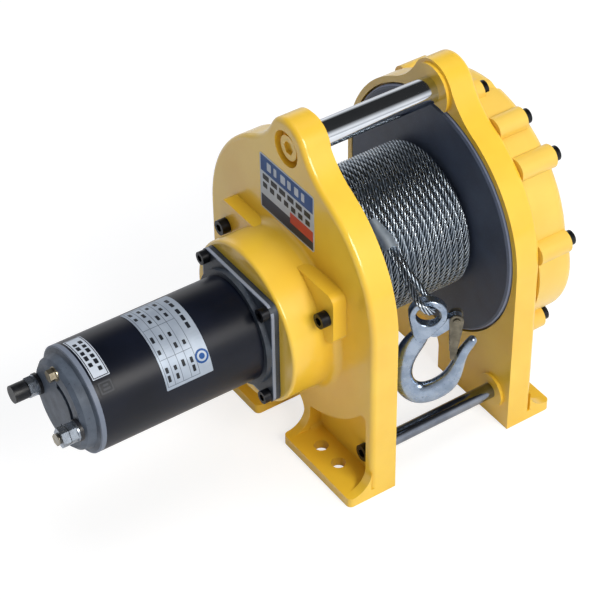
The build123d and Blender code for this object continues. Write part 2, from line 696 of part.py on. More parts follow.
GEAR_X = HOUSING_X + HOUSING_FACE_T + 8.0
DRIVE_PHASE = 90.0


def build_left_gears():
    phase = mesh_phase(PINION_TEETH, INPUT_TEETH, DRIVE_PHASE, -90.0)
    x1 = GEAR_X + SPUR_W
    save(spur(PINION_TEETH, SPUR_MODULE, phase, GEAR_X, x1, SHAFT_NOSE_R, 0, MOTOR_Z), "motor_pinion")
    save(spur(INPUT_TEETH, SPUR_MODULE, DRIVE_PHASE, GEAR_X, x1, INPUT_R), "input_gear")
    x0 = HOUSING_X + HOUSING_FACE_T
    save(tube(INPUT_R + BUSH_T - 1, INPUT_R + RUN, x0, x0 + 7), "input_shaft_bearing")
    save(disc(INPUT_R, x0 + 0.5, SUN_A_X + STAGE_A_W), "input_shaft")
    save(turned(brake_points()), "brake_rotor")
    lining = tube(BARREL_R - BARREL_WALL, BRAKE_R + SLACK, -BRAKE_L / 2, BRAKE_L / 2)
    save(lining, "brake_lining")


BRAKE_R = 21.0
BRAKE_L = 34.0


def brake_points():
    """Corner points of the brake's cone-faced rotor on the input shaft."""
    half = BRAKE_L / 2
    return (
        (-half - 4, INPUT_R),
        (-half - 4, 13.0),
        (-half, 13.0),
        (-half, BRAKE_R - 1.5),
        (-half + 2, BRAKE_R),
        (half - 2, BRAKE_R),
        (half, BRAKE_R - 1.5),
        (half, 13.0),
        (half + 4, 13.0),
        (half + 4, INPUT_R),
    )


CARRIER_B_X = OUT_X + 1.2
SUN_B_X = CARRIER_B_X + CARRIER_T + 0.6
CARRIER_A_X = SUN_B_X + STAGE_B_W + 0.6
SUN_A_X = CARRIER_A_X + CARRIER_T + 0.6


def planets(teeth, sun_teeth, sun_phase, orbit, x0, width, name):
    """Three planets spaced evenly round their sun, in mesh with it."""
    for k in range(PLANETS):
        direction = 90.0 + 360.0 * k / PLANETS
        y, z = polar(orbit, direction)
        phase = mesh_phase(teeth, sun_teeth, sun_phase, direction)
        gear = spur(teeth, PLANET_MODULE, phase, x0, x0 + width, PIN_R + RUN, y, z)
        save(gear, f"{name}_{k + 1}")


SUN_A_PHASE = 90.0
# The shared ring gear sets the second sun half a tooth over when only one planet count is odd
SUN_B_PHASE = SUN_A_PHASE + 180.0 / SUN_B_TEETH * ((PLANET_A_TEETH + PLANET_B_TEETH) % 2)


def carrier(x0, orbit, pin_to, bore):
    """Planet carrier: a rounded three-armed plate with its pins."""
    plate = Circle(orbit * 0.62)
    pins = None
    for k in range(PLANETS):
        y, z = polar(orbit, 90.0 + 360.0 * k / PLANETS, 0.0)
        arm = Pos(y, z) * Circle(PIN_R + 7)
        plate += make_hull(arm.edges() + Circle(PIN_R + 6).edges())
        pin = disc(PIN_R, x0 + CARRIER_T, pin_to, y, DRUM_Z + z)
        pins = pin if pins is None else pins + pin
    body = extrude(across(x0) * plate, CARRIER_T)
    return body + pins - disc(bore, x0, x0 + CARRIER_T)


def ring_gear():
    """Fixed inner gear shared by both planetary stages."""
    x0, x1 = OUT_X + SEAT, SUN_A_X + STAGE_A_W
    teeth_phase = mesh_phase(PLANET_A_TEETH, SUN_A_TEETH, SUN_A_PHASE, 90.0)
    along = PLANET_A_TEETH * (90.0 - teeth_phase) / 360.0
    phase = 90.0 - 360.0 / RING_TEETH * along
    body = disc(RING_OUTER_R - SEAT, x0, x1)
    gap = gear_outline(RING_TEETH, PLANET_MODULE, phase, inner=True)
    return body - extrude(across(x0) * gap, x1 - x0)


def build_right_gears():
    save(ring_gear(), "ring_gear")
    x1 = SUN_A_X + STAGE_A_W
    save(spur(SUN_A_TEETH, PLANET_MODULE, SUN_A_PHASE, SUN_A_X, x1, INPUT_R), "first_sun_gear")
    name = "first_planet_gear"
    planets(PLANET_A_TEETH, SUN_A_TEETH, SUN_A_PHASE, ORBIT_A, SUN_A_X, STAGE_A_W, name)
    save(carrier(CARRIER_A_X, ORBIT_A, SUN_A_X + STAGE_A_W, INPUT_R + 1.0), "first_planet_carrier")
    sun_b = spur(SUN_B_TEETH, PLANET_MODULE, SUN_B_PHASE, SUN_B_X, CARRIER_A_X, INPUT_R + RUN)
    save(sun_b, "second_sun_gear")
    name = "second_planet_gear"
    planets(PLANET_B_TEETH, SUN_B_TEETH, SUN_B_PHASE, ORBIT_B, SUN_B_X, STAGE_B_W, name)
    hub = disc(SPLINE_R - SEAT, BARREL_END_X + 3, CARRIER_B_X)
    body = carrier(CARRIER_B_X, ORBIT_B, SUN_B_X + STAGE_B_W, INPUT_R + 1.0)
    save(body + hub - disc(INPUT_R + 1.0, 0, CARRIER_B_X), "second_planet_carrier")


# Gear cover


def cover_body(radius, bulge, x0, x1, edge):
    """Round cover body with the bulge on its front side, its outer edge rounded."""
    main = disc(radius, x0, x1)
    side = disc(bulge, x0, x1, BULGE_Y, DRUM_Z + BULGE_Z)
    main = fillet(main.edges().filter_by(GeomType.CIRCLE).sort_by(Axis.X)[-1], edge)
    side = fillet(side.edges().filter_by(GeomType.CIRCLE).sort_by(Axis.X)[-1], edge)
    return main + side


def gear_cover():
    """Cast cover over the planetary gears, with its screw bosses."""
    start = OUT_X + SEAT
    body = cover_body(COVER_R, BULGE_R, start, COVER_X, COVER_EDGE)
    for angle, beyond, below in COVER_BOSSES:
        y, z = polar(COVER_R + beyond, angle)
        body += disc(BOSS_R, start, COVER_X - below, y, z)
    body -= disc(RING_OUTER_R, start, COVER_X - COVER_WALL)
    for angle, beyond, below in COVER_BOSSES:
        y, z = polar(COVER_R + beyond, angle)
        body -= disc(COVER_SCREW_R + SEAT, start, COVER_X + 1, y, z)
        body -= disc(COVER_HEAD_R + 0.6, COVER_X - below, COVER_X + 1, y, z)
    return body


def cover_screws():
    """Socket screws through the cover's bosses into the frame."""
    screws = []
    for angle, beyond, below in COVER_BOSSES:
        y, z = polar(COVER_R + beyond, angle)
        seat = COVER_X - below
        screws.append(socket_screw(COVER_HEAD_R, COVER_HEAD_T, COVER_SCREW_R, seat, OUT_X - 9, y, z))
    return Compound(children=screws)


def build_cover():
    save(gear_cover(), "gear_cover")
    save(cover_screws(), "cover_screws")


# Drum


def drum_flange():
    """Right-hand drum flange with bevelled rim."""
    inner, outer = FLANGE_X, BARREL_END_X
    return turned(
        (
            (inner, BARREL_R),
            (inner, FLANGE_R - FLANGE_BEVEL),
            (inner + FLANGE_BEVEL, FLANGE_R),
            (outer - 1, FLANGE_R),
            (outer, FLANGE_R - 1),
            (outer, BARREL_R),
        )
    )


def drum_barrel():
    """Barrel with its two journals; the right one takes the second carrier's hub."""
    left_end = -BARREL_END_X - LEFT_JOURNAL_L
    body = disc(BARREL_R, -BARREL_END_X, BARREL_END_X)
    body -= disc(BARREL_R - BARREL_WALL, -BARREL_END_X + 7, BARREL_END_X - 7)
    body += disc(JOURNAL_R, left_end, -BARREL_END_X)
    body += disc(RIGHT_JOURNAL_R, BARREL_END_X, OUT_X + 0.6)
    body -= disc(SPLINE_R, BARREL_END_X + 3 - SEAT, OUT_X + 1)
    return body - disc(INPUT_R + 2.5, left_end, OUT_X)


def wound_rope():
    """The wound rope as one ring with a rounded ridge for each wrap."""
    pitch = (DRUM_INNER - 2 * SEAT) / WRAPS
    start = -DRUM_INNER / 2 + SEAT
    valley = PACK_R - ROPE_D / 4
    points = [(start, BARREL_R + SEAT), (start, valley)]
    for k in range(WRAPS):
        left = start + pitch * k
        points += [(left + pitch * 0.28, PACK_R), (left + pitch * 0.72, PACK_R)]
        points.append((left + pitch, valley))
    points.append((-start, BARREL_R + SEAT))
    return turned(points)


def shaft_bushes():
    """Bushes in the barrel's ends for the input shaft."""
    left_end = -BARREL_END_X - LEFT_JOURNAL_L
    left = tube(INPUT_R + 2.5, INPUT_R + RUN, left_end, left_end + 12)
    right = tube(INPUT_R + 2.5, INPUT_R + RUN, BARREL_END_X - 7, BARREL_END_X + 2)
    return Compound(children=[left, right])


def build_drum():
    save(drum_barrel(), "drum_barrel")
    flange = drum_flange()
    save(flange, "right_drum_flange")
    save(mirrored(flange), "left_drum_flange")
    save(wound_rope(), "wound_rope")
    save(shaft_bushes(), "input_shaft_bushes")
    plate_x = -RECESS_X - SEAT
    save(tube(JOURNAL_R + BUSH_T, JOURNAL_R + RUN, plate_x - CARRIER_PLATE_T, plate_x), "left_drum_bush")
    right = tube(RIGHT_JOURNAL_R + BUSH_T, RIGHT_JOURNAL_R + RUN, RECESS_X, OUT_X)
    save(right, "right_drum_bush")


# Rope end and hook


def rope_frame():
    """Where the rope leaves the wraps, its direction, the eye's spread and the hook's hole."""
    drop = math.radians(TAIL_DROP)
    turn = math.radians(HOOK_TURN)
    leave_r = PACK_R + SLACK + ROPE_D / 2
    leave = Vector(TAIL_X, -leave_r * math.sin(drop), DRUM_Z + leave_r * math.cos(drop))
    along = Vector(0, -math.cos(drop), -math.sin(drop))
    hole = Vector(-math.sin(turn), -math.cos(turn), 0)
    spread = (hole - along * hole.dot(along)).normalized()
    return leave, along, spread, hole


def bend_centre():
    """Centre of the rope eye's bend."""
    leave, along, spread, _ = rope_frame()
    return leave - spread * LEG_HALF + along * (TAIL_REACH - EYE_R)


def rope_corners():
    """Corners of the free rope's centreline: off the wraps, through the ferrule, round the eye."""
    leave, along, spread, _ = rope_frame()
    centre = bend_centre()
    spring = math.hypot(EYE_LEG - EYE_BREAK, LEG_HALF)
    lean = math.asin(EYE_R / spring) - math.atan2(LEG_HALF, EYE_LEG - EYE_BREAK)
    turn = (math.pi + 2 * lean) / EYE_CORNERS
    reach = EYE_R / math.cos(turn / 2)
    lead = math.radians(TAIL_LEAD)
    wrap_r = PACK_R + SLACK + ROPE_D / 2
    back = leave - along * (wrap_r * math.tan(lead / 2))
    up = Vector(1, 0, 0).cross(along) * -1
    start = back - (along * math.cos(lead) + up * math.sin(lead)) * (wrap_r * math.tan(lead / 2))
    corners = [start, back]
    first = -(turn * (EYE_CORNERS - 1) / 2)
    mouth = centre - along * (EYE_LEG - EYE_BREAK)
    corners.append(mouth + spread * LEG_HALF)
    for k in range(EYE_CORNERS):
        angle = first + turn * k
        corners.append(centre + along * (reach * math.cos(angle)) - spread * (reach * math.sin(angle)))
    corners.append(mouth - spread * LEG_HALF)
    corners.append(mouth - spread * LEG_HALF - along * (EYE_BREAK + LEG_IN_FERRULE))
    return corners


def arc_radii(corners):
    """Radius of the arc at each inner corner: as large as its two runs allow."""
    radii = []
    for a, b, c in zip(corners, corners[1:], corners[2:]):
        turn = math.radians((b - a).get_angle(c - b))
        shorter = min((b - a).length, (c - b).length)
        radii.append(0.45 * shorter / math.tan(turn / 2))
    return radii


def rope_tail():
    """The free end of the wire rope with its eye."""
    corners = rope_corners()
    radii = arc_radii(corners)
    print("rope arc radii", [round(r, 1) for r in radii])
    path = FilletPolyline(*corners, radius=radii)
    start = Plane(origin=corners[0], z_dir=(corners[1] - corners[0]))
    cord = sweep(start * Circle(ROPE_D / 2), path=path)
    section = math.pi * ROPE_D**2 / 4
    print("rope length", round(path.length, 1), "volume/section/length", cord.volume / section / path.length)
    print("rope corners", [tuple(round(v, 2) for v in c) for c in corners])
    return cord


def ferrule():
    """Pressed sleeve that joins the two legs of the rope eye, tapered toward the drum."""
    leave, along, spread, _ = rope_frame()
    mouth = bend_centre() - along * EYE_LEG
    back = along * -1
    bottom = Plane(origin=mouth, x_dir=spread, z_dir=back)
    middle = Plane(origin=mouth + back * (FERRULE_L * FERRULE_STRAIGHT), x_dir=spread, z_dir=back)
    top = Plane(origin=mouth + back * FERRULE_L + spread * LEG_HALF, x_dir=spread, z_dir=back)
    wide = LEG_HALF + ROPE_D / 2 + FERRULE_WALL
    oval = Ellipse(wide, wide * 0.86)
    sections = [bottom * oval, middle * oval, top * Circle(ROPE_D / 2 + FERRULE_TOP_WALL)]
    body = loft(sections, ruled=True)
    bore = ROPE_D / 2 + SEAT
    through = Plane(origin=mouth + spread * LEG_HALF + along, x_dir=spread, z_dir=along * -1)
    blind = Plane(origin=mouth - spread * LEG_HALF + along, x_dir=spread, z_dir=along * -1)
    body -= extrude(through * Circle(bore), FERRULE_L + 2)
    return body - extrude(blind * Circle(bore), LEG_IN_FERRULE + 1 + SEAT)


def hook_place():
    """Local frame of the hook: origin at its eye, X across it, Y up, Z along the eye's hole."""
    hole = rope_frame()[3]
    side = hole.cross(Vector(0, 0, 1)) * -1
    held = math.radians(HOOK_SLANT)
    rim = (HOOK_EYE_R + HOOK_HOLE_R) / 2
    origin = bend_centre() + side * (rim * math.sin(held)) - Vector(0, 0, rim * math.cos(held))
    return Plane(origin=origin, x_dir=side, z_dir=hole)


def hook_sections():
    """Oval stations of the forged body: place, half width and half thickness."""
    centres = [Vector(u, v) for u, v, _, _ in HOOK_STATIONS]
    sections = []
    for k, (u, v, wide, thick) in enumerate(HOOK_STATIONS):
        ahead = centres[min(k + 1, len(centres) - 1)] - centres[max(k - 1, 0)]
        ahead = Vector(ahead.X, ahead.Y, 0).normalized()
        plane = Plane(origin=(u, v, 0), x_dir=ahead.cross(Vector(0, 0, 1)), z_dir=ahead)
        sections.append(plane * Ellipse(wide, thick))
    return sections


def link(first, first_r, second, second_r, thick, level=0.0):
    """Flat bar with two round ends in the hook's plane."""
    ends = Pos(*first) * Circle(first_r) + Pos(*second) * Circle(second_r)
    return extrude(Pos(0, 0, level - thick / 2) * make_hull(ends.edges()), thick)


def rod_z(radius, length, at, level=0.0):
    """Cylinder along the hook's hole direction."""
    return Pos(at[0], at[1], level) * Cylinder(radius, length)


def hook_eye():
    """Flat forged eye that runs down into the neck, with its edges eased."""
    ends = Circle(HOOK_EYE_R) + Pos(*HOOK_NECK) * Circle(HOOK_NECK_R)
    outline = make_hull(ends.edges()) - Circle(HOOK_HOLE_R)
    plate = extrude(Pos(0, 0, -HOOK_EYE_T / 2) * outline, HOOK_EYE_T)
    rims = plate.edges().filter_by(lambda e: abs(e.center().Z) > HOOK_EYE_T / 2 - 0.01)
    return fillet(rims, HOOK_EYE_EDGE)


def hook():
    """Forged eye hook with the ear that carries the latch."""
    body = hook_eye() + loft(hook_sections())
    u, v, wide, thick = HOOK_STATIONS[-1]
    body += Pos(u, v) * Sphere(thick)
    body += link(LATCH_PIVOT, EAR_R, EAR_ROOT, EAR_R + 1, EAR_T)
    return body - rod_z(LATCH_PIN_R + SEAT, EAR_T * 2, LATCH_PIVOT)


def latch():
    """Sheet latch: two cheeks on the pin joined by a web that closes the throat."""
    end = (LATCH_PIVOT[0] + LATCH_LEAN, LATCH_PIVOT[1] - LATCH_L)
    level = LATCH_W / 2 - LATCH_T / 2
    body = None
    for side in (-1, 1):
        cheek = link(LATCH_PIVOT, LATCH_TOP_R, end, LATCH_TIP_R, LATCH_T, side * level)
        body = cheek if body is None else body + cheek
    half = LATCH_T / 2
    high = (LATCH_PIVOT[0] + LATCH_TOP_R - half - 0.9, LATCH_PIVOT[1] - LATCH_TOP_R - 4)
    low = (end[0] + LATCH_TIP_R - half, end[1])
    body += link(high, half, low, half, LATCH_W - LATCH_T)
    return body - rod_z(LATCH_PIN_R + RUN, LATCH_W * 2, LATCH_PIVOT)


def latch_pin():
    """Riveted pin through ear and cheeks."""
    body = rod_z(LATCH_PIN_R, LATCH_W + 2 * 1.4, LATCH_PIVOT)
    level = LATCH_W / 2 + SLACK / 2 + 0.6
    return body + rod_z(2.6, 1.0, LATCH_PIVOT, level) + rod_z(2.6, 1.0, LATCH_PIVOT, -level)


def latch_spring():
    """Torsion spring beside the ear, with the legs that bear on the hook's eye."""
    reach = HOOK_EYE_R + SPRING_WIRE / 2 + SEAT
    away = math.hypot(*LATCH_PIVOT)
    foot = (LATCH_PIVOT[0] * reach / away, LATCH_PIVOT[1] * reach / away)
    body = None
    for side in (-1, 1):
        level = side * (EAR_T / 2 + SPRING_WIRE / 2 + 0.1)
        coil = rod_z(3.1, SPRING_WIRE, LATCH_PIVOT, level)
        coil -= rod_z(LATCH_PIN_R + SEAT, SPRING_WIRE * 2, LATCH_PIVOT, level)
        start = (LATCH_PIVOT[0] - 1, LATCH_PIVOT[1] + 2.5)
        coil += link(start, SPRING_WIRE / 2, foot, SPRING_WIRE / 2, SPRING_WIRE, level)
        coil -= rod_z(LATCH_PIN_R + SEAT, SPRING_WIRE * 2, LATCH_PIVOT, level)
        body = coil if body is None else body + coil
    return body


def build_rope():
    save(rope_tail(), "rope_tail")
    save(ferrule(), "rope_ferrule")
    place = hook_place()
    print("hook eye", place.origin, "across", place.x_dir, "hole", place.z_dir)
    swing = Rot(0, 0, HOOK_HANG)
    shapes = {"hook": hook(), "hook_latch": latch(), "latch_pin": latch_pin(), "latch_spring": latch_spring()}
    for name, shape in shapes.items():
        seated = place.location * swing * shape
        print(name, "centre", place.to_local_coords(seated.center(CenterOf.MASS)), seated.is_valid)
        save(seated, name)
    pivot = place.location * swing * Pos(*LATCH_PIVOT)
    print("latch pivot", pivot.position)


build_frames()
build_motor()
build_left_gears()
build_right_gears()
build_cover()
build_drum()
build_rope()
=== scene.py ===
"""Electric winch with yellow cast frames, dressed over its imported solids, in metres."""

from __future__ import annotations

import logging
import math
from dataclasses import dataclass, field
from enum import Enum
from typing import Any, Callable, NamedTuple, Optional, Sequence

import bpy
import numpy as np
from mathutils import Matrix, Vector


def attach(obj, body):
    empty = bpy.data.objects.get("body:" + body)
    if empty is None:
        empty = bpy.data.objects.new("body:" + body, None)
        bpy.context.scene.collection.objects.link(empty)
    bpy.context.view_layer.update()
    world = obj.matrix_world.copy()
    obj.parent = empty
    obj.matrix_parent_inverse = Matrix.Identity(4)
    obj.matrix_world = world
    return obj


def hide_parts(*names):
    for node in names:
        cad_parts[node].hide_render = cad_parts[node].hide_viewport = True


LOG = logging.getLogger("winch")
MM = 0.001
Tree = bpy.types.NodeTree
Node = bpy.types.Node
Onto = Callable[[np.ndarray, np.ndarray, float], np.ndarray]

# Where the axes of the round parts stand, as y and z in millimetres.
DRUM_AXIS = (0.0, 143.0)
MOTOR_AXIS = (0.0, 114.2)
UPPER_ROD_AXIS = (0.0, 249.8)
LOWER_ROD_AXIS = (-83.1, 26.3)

# Band of a noise's values between the two colours of a finish.
PATCH_BAND = (0.35, 0.65)
# Noise value that next to nothing passes, and the soft edge of a speck below it.
SPECK_TOP = 0.68
SPECK_SOFT = 0.08

STRANDS = 6
# Shade in the grooves between strands, and how far from a groove's middle it reaches.
GROOVE_SHADE = "#1E2835"
GROOVE_BAND = (0.08, 0.36)

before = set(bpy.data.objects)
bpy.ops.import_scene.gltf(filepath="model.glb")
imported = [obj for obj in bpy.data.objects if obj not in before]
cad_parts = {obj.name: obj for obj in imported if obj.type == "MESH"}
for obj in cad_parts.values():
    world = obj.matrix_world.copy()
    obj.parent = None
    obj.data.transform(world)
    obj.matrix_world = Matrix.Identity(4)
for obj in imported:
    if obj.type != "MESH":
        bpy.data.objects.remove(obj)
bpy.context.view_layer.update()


def linear(code: str) -> tuple[float, float, float, float]:
    """Turn an sRGB hex colour into the linear values that a shader takes.

    Args:
        code: Colour such as "#F2B51E".

    Returns:
        Red, green, blue and an alpha of 1.
    """
    parts = [int(code[k : k + 2], 16) / 255 for k in (1, 3, 5)]
    flat = [p / 12.92 if p <= 0.04045 else ((p + 0.055) / 1.055) ** 2.4 for p in parts]
    return flat[0], flat[1], flat[2], 1.0


def node(
    tree: Tree, kind: str, inputs: Optional[dict[Any, Any]] = None, **settings: Any
) -> Node:
    """Add one shader node with its inputs and its settings.

    Args:
        tree: Node tree that gets the node.
        kind: Blender's name of the node type, without its ShaderNode prefix.
        inputs: Value or output socket for each input, by socket name or number. A Mix node's
            colours are its inputs 6 and 7 and its output 2.
        settings: Settings of the node by name.

    Returns:
        The new node.
    """
    made = tree.nodes.new("ShaderNode" + kind)
    for key, value in settings.items():
        setattr(made, key, value)
    for key, value in (inputs or {}).items():
        if isinstance(value, bpy.types.NodeSocket):
            tree.links.new(value, made.inputs[key])
        else:
            made.inputs[key].default_value = value
    return made


class Pattern(Enum):
    """How a surface was made, which sets the run of its fine marks."""

    EVEN = "even"
    TURNED = "turned"
    THREAD = "thread"
    WIRES = "wires"


class Turned(NamedTuple):
    """Sockets about a part's axis: the vector from it, the radius, and the place along it."""

    away: Any
    radius: Any
    axial: Any


@dataclass(frozen=True)
class Finish:
    """One finish: two close colours in soft patches, gloss that varies and a fine relief.

    The patches, the relief's grain and the specks have their real sizes. An edge colour marks the
    rim that lies beyond edge_r_mm from the part's axis and between two places along it: a machined
    edge on the motor's flange, and a painted highlight on the drum's flanges and the motor's end
    cap.
    """

    name: str
    colour: str
    second: str
    metallic: float = 0.0
    rough: float = 0.4
    rough_swing: float = 0.08
    coat: float = 0.0
    coat_rough: float = 0.1
    patch_mm: float = 30.0
    grain_mm: float = 1.5
    relief: float = 0.1
    depth_mm: float = 0.2
    pattern: Pattern = Pattern.EVEN
    axis_yz_mm: tuple[float, float] = DRUM_AXIS
    specular: float = 0.5
    # Rim colour: a machined edge on the motor's flange, a painted highlight on the drum's flanges
    # and the end cap.
    edge: str = ""
    edge_r_mm: float = 0.0
    edge_x_mm: tuple[float, float] = (-1000.0, 1000.0)
    edge_square: bool = False
    speck: str = ""
    speck_mm: float = 3.0
    speck_share: float = 0.1

    def turned(self, tree: Tree, place: Any) -> Turned:
        """Centre the coordinates on the part's axis, with radius = length of (0, y, z).

        Args:
            tree: Material tree.
            place: Socket with the Object coordinates.

        Returns:
            The sockets about the axis.
        """
        y, z = (value * MM for value in self.axis_yz_mm)
        away = node(tree, "Mapping", {"Vector": place, "Location": (0.0, -y, -z)}).outputs["Vector"]
        flat = node(tree, "VectorMath", {0: away, 1: (0.0, 1.0, 1.0)}, operation="MULTIPLY")
        radius = node(tree, "VectorMath", {0: flat.outputs[0]}, operation="LENGTH")
        parts = node(tree, "SeparateXYZ", {"Vector": away})
        return Turned(away, radius.outputs["Value"], parts.outputs["X"])

    def edge_and_highlight_mask(self, tree: Tree, place: Any) -> Any:
        """Mark the bright rim, a painted highlight on some parts: beyond a reach from the axis, and
        between two places along it.

        The reach is the radius on a round part, and the larger of |y| and |z| on a square one.

        Args:
            tree: Material tree.
            place: Socket with the Object coordinates.

        Returns:
            Socket with 1 on the rim and 0 elsewhere.
        """
        about = self.turned(tree, place)
        reach = about.radius
        if self.edge_square:
            size = node(tree, "VectorMath", {0: about.away}, operation="ABSOLUTE")
            sides = node(tree, "SeparateXYZ", {"Vector": size.outputs[0]}).outputs
            far = node(tree, "Math", {0: sides["Y"], 1: sides["Z"]}, operation="MAXIMUM")
            reach = far.outputs[0]
        low, high = (value * MM for value in self.edge_x_mm)
        tests = (
            ("GREATER_THAN", reach, self.edge_r_mm * MM),
            ("GREATER_THAN", about.axial, low),
            ("LESS_THAN", about.axial, high),
        )
        mask: Any = 1.0
        for how, what, limit in tests:
            met = node(tree, "Math", {0: what, 1: limit}, operation=how)
            both = node(tree, "Math", {0: mask, 1: met.outputs[0]}, operation="MULTIPLY")
            mask = both.outputs[0]
        return mask

    def speck_mask(self, tree: Tree, place: Any) -> Any:
        """Scatter small specks where a fine noise is high.

        Args:
            tree: Material tree.
            place: Socket with the Object coordinates.

        Returns:
            Socket with 1 in a speck and 0 elsewhere.
        """
        grain = 1 / (self.speck_mm * MM)
        dots = node(
            tree, "TexNoise", {"Vector": place, "Scale": grain, "Detail": 4.0, "Roughness": 0.7}
        )
        low = SPECK_TOP - self.speck_share
        band = {"Value": dots.outputs["Fac"], "From Min": low, "From Max": low + SPECK_SOFT}
        return node(tree, "MapRange", band).outputs["Result"]

    def strand_shade(self, tree: Tree) -> Any:
        """Find the grooves between strands from the strand count in the rope's UV.

        Args:
            tree: Material tree.

        Returns:
            Socket with 0 in a groove and 1 on a strand's crown.
        """
        uv = node(tree, "SeparateXYZ", {"Vector": node(tree, "TexCoord").outputs["UV"]})
        part = node(tree, "Math", {0: uv.outputs["Y"]}, operation="FRACT")
        away = node(tree, "Math", {0: part.outputs[0], 1: 0.5}, operation="SUBTRACT")
        size = node(tree, "Math", {0: away.outputs[0]}, operation="ABSOLUTE")
        low, high = GROOVE_BAND
        band = {"Value": size.outputs[0], "From Min": low, "From Max": high}
        return node(tree, "MapRange", band).outputs["Result"]

    def relief_height(self, tree: Tree, place: Any) -> Any:
        """Build the height field of the finish's fine relief.

        Args:
            tree: Material tree.
            place: Socket with the Object coordinates.

        Returns:
            Socket with a height from 0 to 1.
        """
        grain = 1 / (self.grain_mm * MM)
        if self.pattern is Pattern.WIRES:
            # Wires lie along the rope, so the pattern is drawn out along the UV's first way.
            uv = node(tree, "TexCoord").outputs["UV"]
            drawn = node(tree, "Mapping", {"Vector": uv, "Scale": (0.25, 1.0, 1.0)})
            wires = {"Vector": drawn.outputs["Vector"], "Scale": 2.4}
            wires |= {"Distortion": 1.2, "Detail": 1.0, "Detail Scale": 1.0}
            return node(tree, "TexWave", wires, bands_direction="Y").outputs["Fac"]
        if self.pattern is Pattern.EVEN:
            peel = {"Vector": place, "Scale": grain, "Detail": 3.0, "Roughness": 0.55}
            return node(tree, "TexNoise", peel).outputs["Fac"]
        if self.pattern is Pattern.THREAD:
            # A wave texture of scale 1 repeats every 2 pi / 20, so the ridges lie two grains
            # apart, coarser than the real thread, so that they show.
            ridges = {"Vector": place, "Scale": grain / 20.0 * math.pi, "Distortion": 0.0}
            wave = node(tree, "TexWave", ridges, bands_direction="X", wave_profile="SIN")
            return wave.outputs["Fac"]
        # Turned marks are rings: a noise that depends on x plus the radius about the part's axis.
        about = self.turned(tree, place)
        along = node(tree, "Math", {0: about.radius, 1: about.axial}, operation="ADD")
        rings = {"W": along.outputs["Value"], "Scale": grain, "Detail": 4.0, "Roughness": 0.7}
        return node(tree, "TexNoise", rings, noise_dimensions="1D").outputs["Fac"]

    def material(self) -> bpy.types.Material:
        """Build the procedural material once, and hand it out after that.

        Returns:
            The material of this finish.
        """
        known = bpy.data.materials.get(self.name)
        if known is not None:
            return known
        made = bpy.data.materials.new(self.name)
        made.use_nodes = True
        made.diffuse_color = linear(self.colour)
        tree = made.node_tree
        tree.nodes.clear()
        place = node(tree, "TexCoord").outputs["Object"]
        wide = {"Scale": 1 / (self.patch_mm * MM), "Detail": 3.0, "Roughness": 0.5}
        patches = node(tree, "TexNoise", {"Vector": place, **wide}).outputs["Fac"]
        low, high = PATCH_BAND
        spread = node(tree, "MapRange", {"Value": patches, "From Min": low, "From Max": high})
        pair = {0: spread.outputs["Result"], 6: linear(self.colour), 7: linear(self.second)}
        shown = node(tree, "Mix", pair, data_type="RGBA").outputs[2]
        if self.speck:
            dotted = {0: self.speck_mask(tree, place), 6: shown, 7: linear(self.speck)}
            shown = node(tree, "Mix", dotted, data_type="RGBA").outputs[2]
        # Bright rim: machined on the motor's flange, a painted highlight on the drum's flanges and
        # the end cap.
        if self.edge:
            rim_and_highlight = {0: self.edge_and_highlight_mask(tree, place), 6: shown, 7: linear(self.edge)}
            shown = node(tree, "Mix", rim_and_highlight, data_type="RGBA").outputs[2]
        # Painted shade in the grooves between strands.
        if self.pattern is Pattern.WIRES:
            laid = {0: self.strand_shade(tree), 6: linear(GROOVE_SHADE), 7: shown}
            shown = node(tree, "Mix", laid, data_type="RGBA").outputs[2]
        gloss = {
            "Value": patches,
            "To Min": max(0.02, self.rough - self.rough_swing),
            "To Max": min(1.0, self.rough + self.rough_swing),
        }
        height = self.relief_height(tree, place)
        fine = {"Height": height, "Strength": self.relief, "Distance": self.depth_mm * MM}
        look = {
            "Base Color": shown,
            "Metallic": self.metallic,
            "Specular IOR Level": self.specular,
            "Roughness": node(tree, "MapRange", gloss).outputs["Result"],
            "Normal": node(tree, "Bump", fine).outputs["Normal"],
        }
        if self.coat:
            look |= {"Coat Weight": self.coat, "Coat Roughness": self.coat_rough}
        shader = node(tree, "BsdfPrincipled", look)
        node(tree, "OutputMaterial", {"Surface": shader.outputs["BSDF"]})
        return made


# Sprayed two-pack enamel on cast iron: glossy, with orange peel and slow swells of the casting.
YELLOW = Finish(
    "sprayed_yellow_enamel", "#F4C93C", "#F0C032", rough=0.38, coat=0.7, coat_rough=0.13,
    patch_mm=45, grain_mm=5.0, relief=0.10, depth_mm=0.35,
)
# The same enamel on the die-cast cover, paler where it lies thin over the casting's skin.
COVER_YELLOW = Finish(
    "pale_yellow_cover_enamel", "#EFC958", "#ECC250", rough=0.40, coat=0.5, coat_rough=0.2,
    patch_mm=35, grain_mm=5.0, relief=0.07, depth_mm=0.3,
)
# Stoved black enamel on a rolled steel tube: deep, smooth, with a broad soft highlight.
BLACK_TUBE = Finish(
    "stoved_black_enamel", "#0A0E19", "#0F1422", rough=0.34, rough_swing=0.05, specular=0.26,
    patch_mm=40, grain_mm=2.5, relief=0.05, depth_mm=0.1,
)
# Painted die casting: dull slate grey, a faint grit from the mould, bright along its square rim.
SLATE_CAST = Finish(
    "slate_painted_die_casting", "#2E353F", "#3A424D", rough=0.46, patch_mm=14, grain_mm=0.8,
    relief=0.25, depth_mm=0.15, speck="#59626E", speck_mm=1.6, speck_share=0.05, edge="#8A92A2",
    edge_r_mm=43.3, edge_x_mm=(-116.9, -114.4), edge_square=True, axis_yz_mm=MOTOR_AXIS,
)
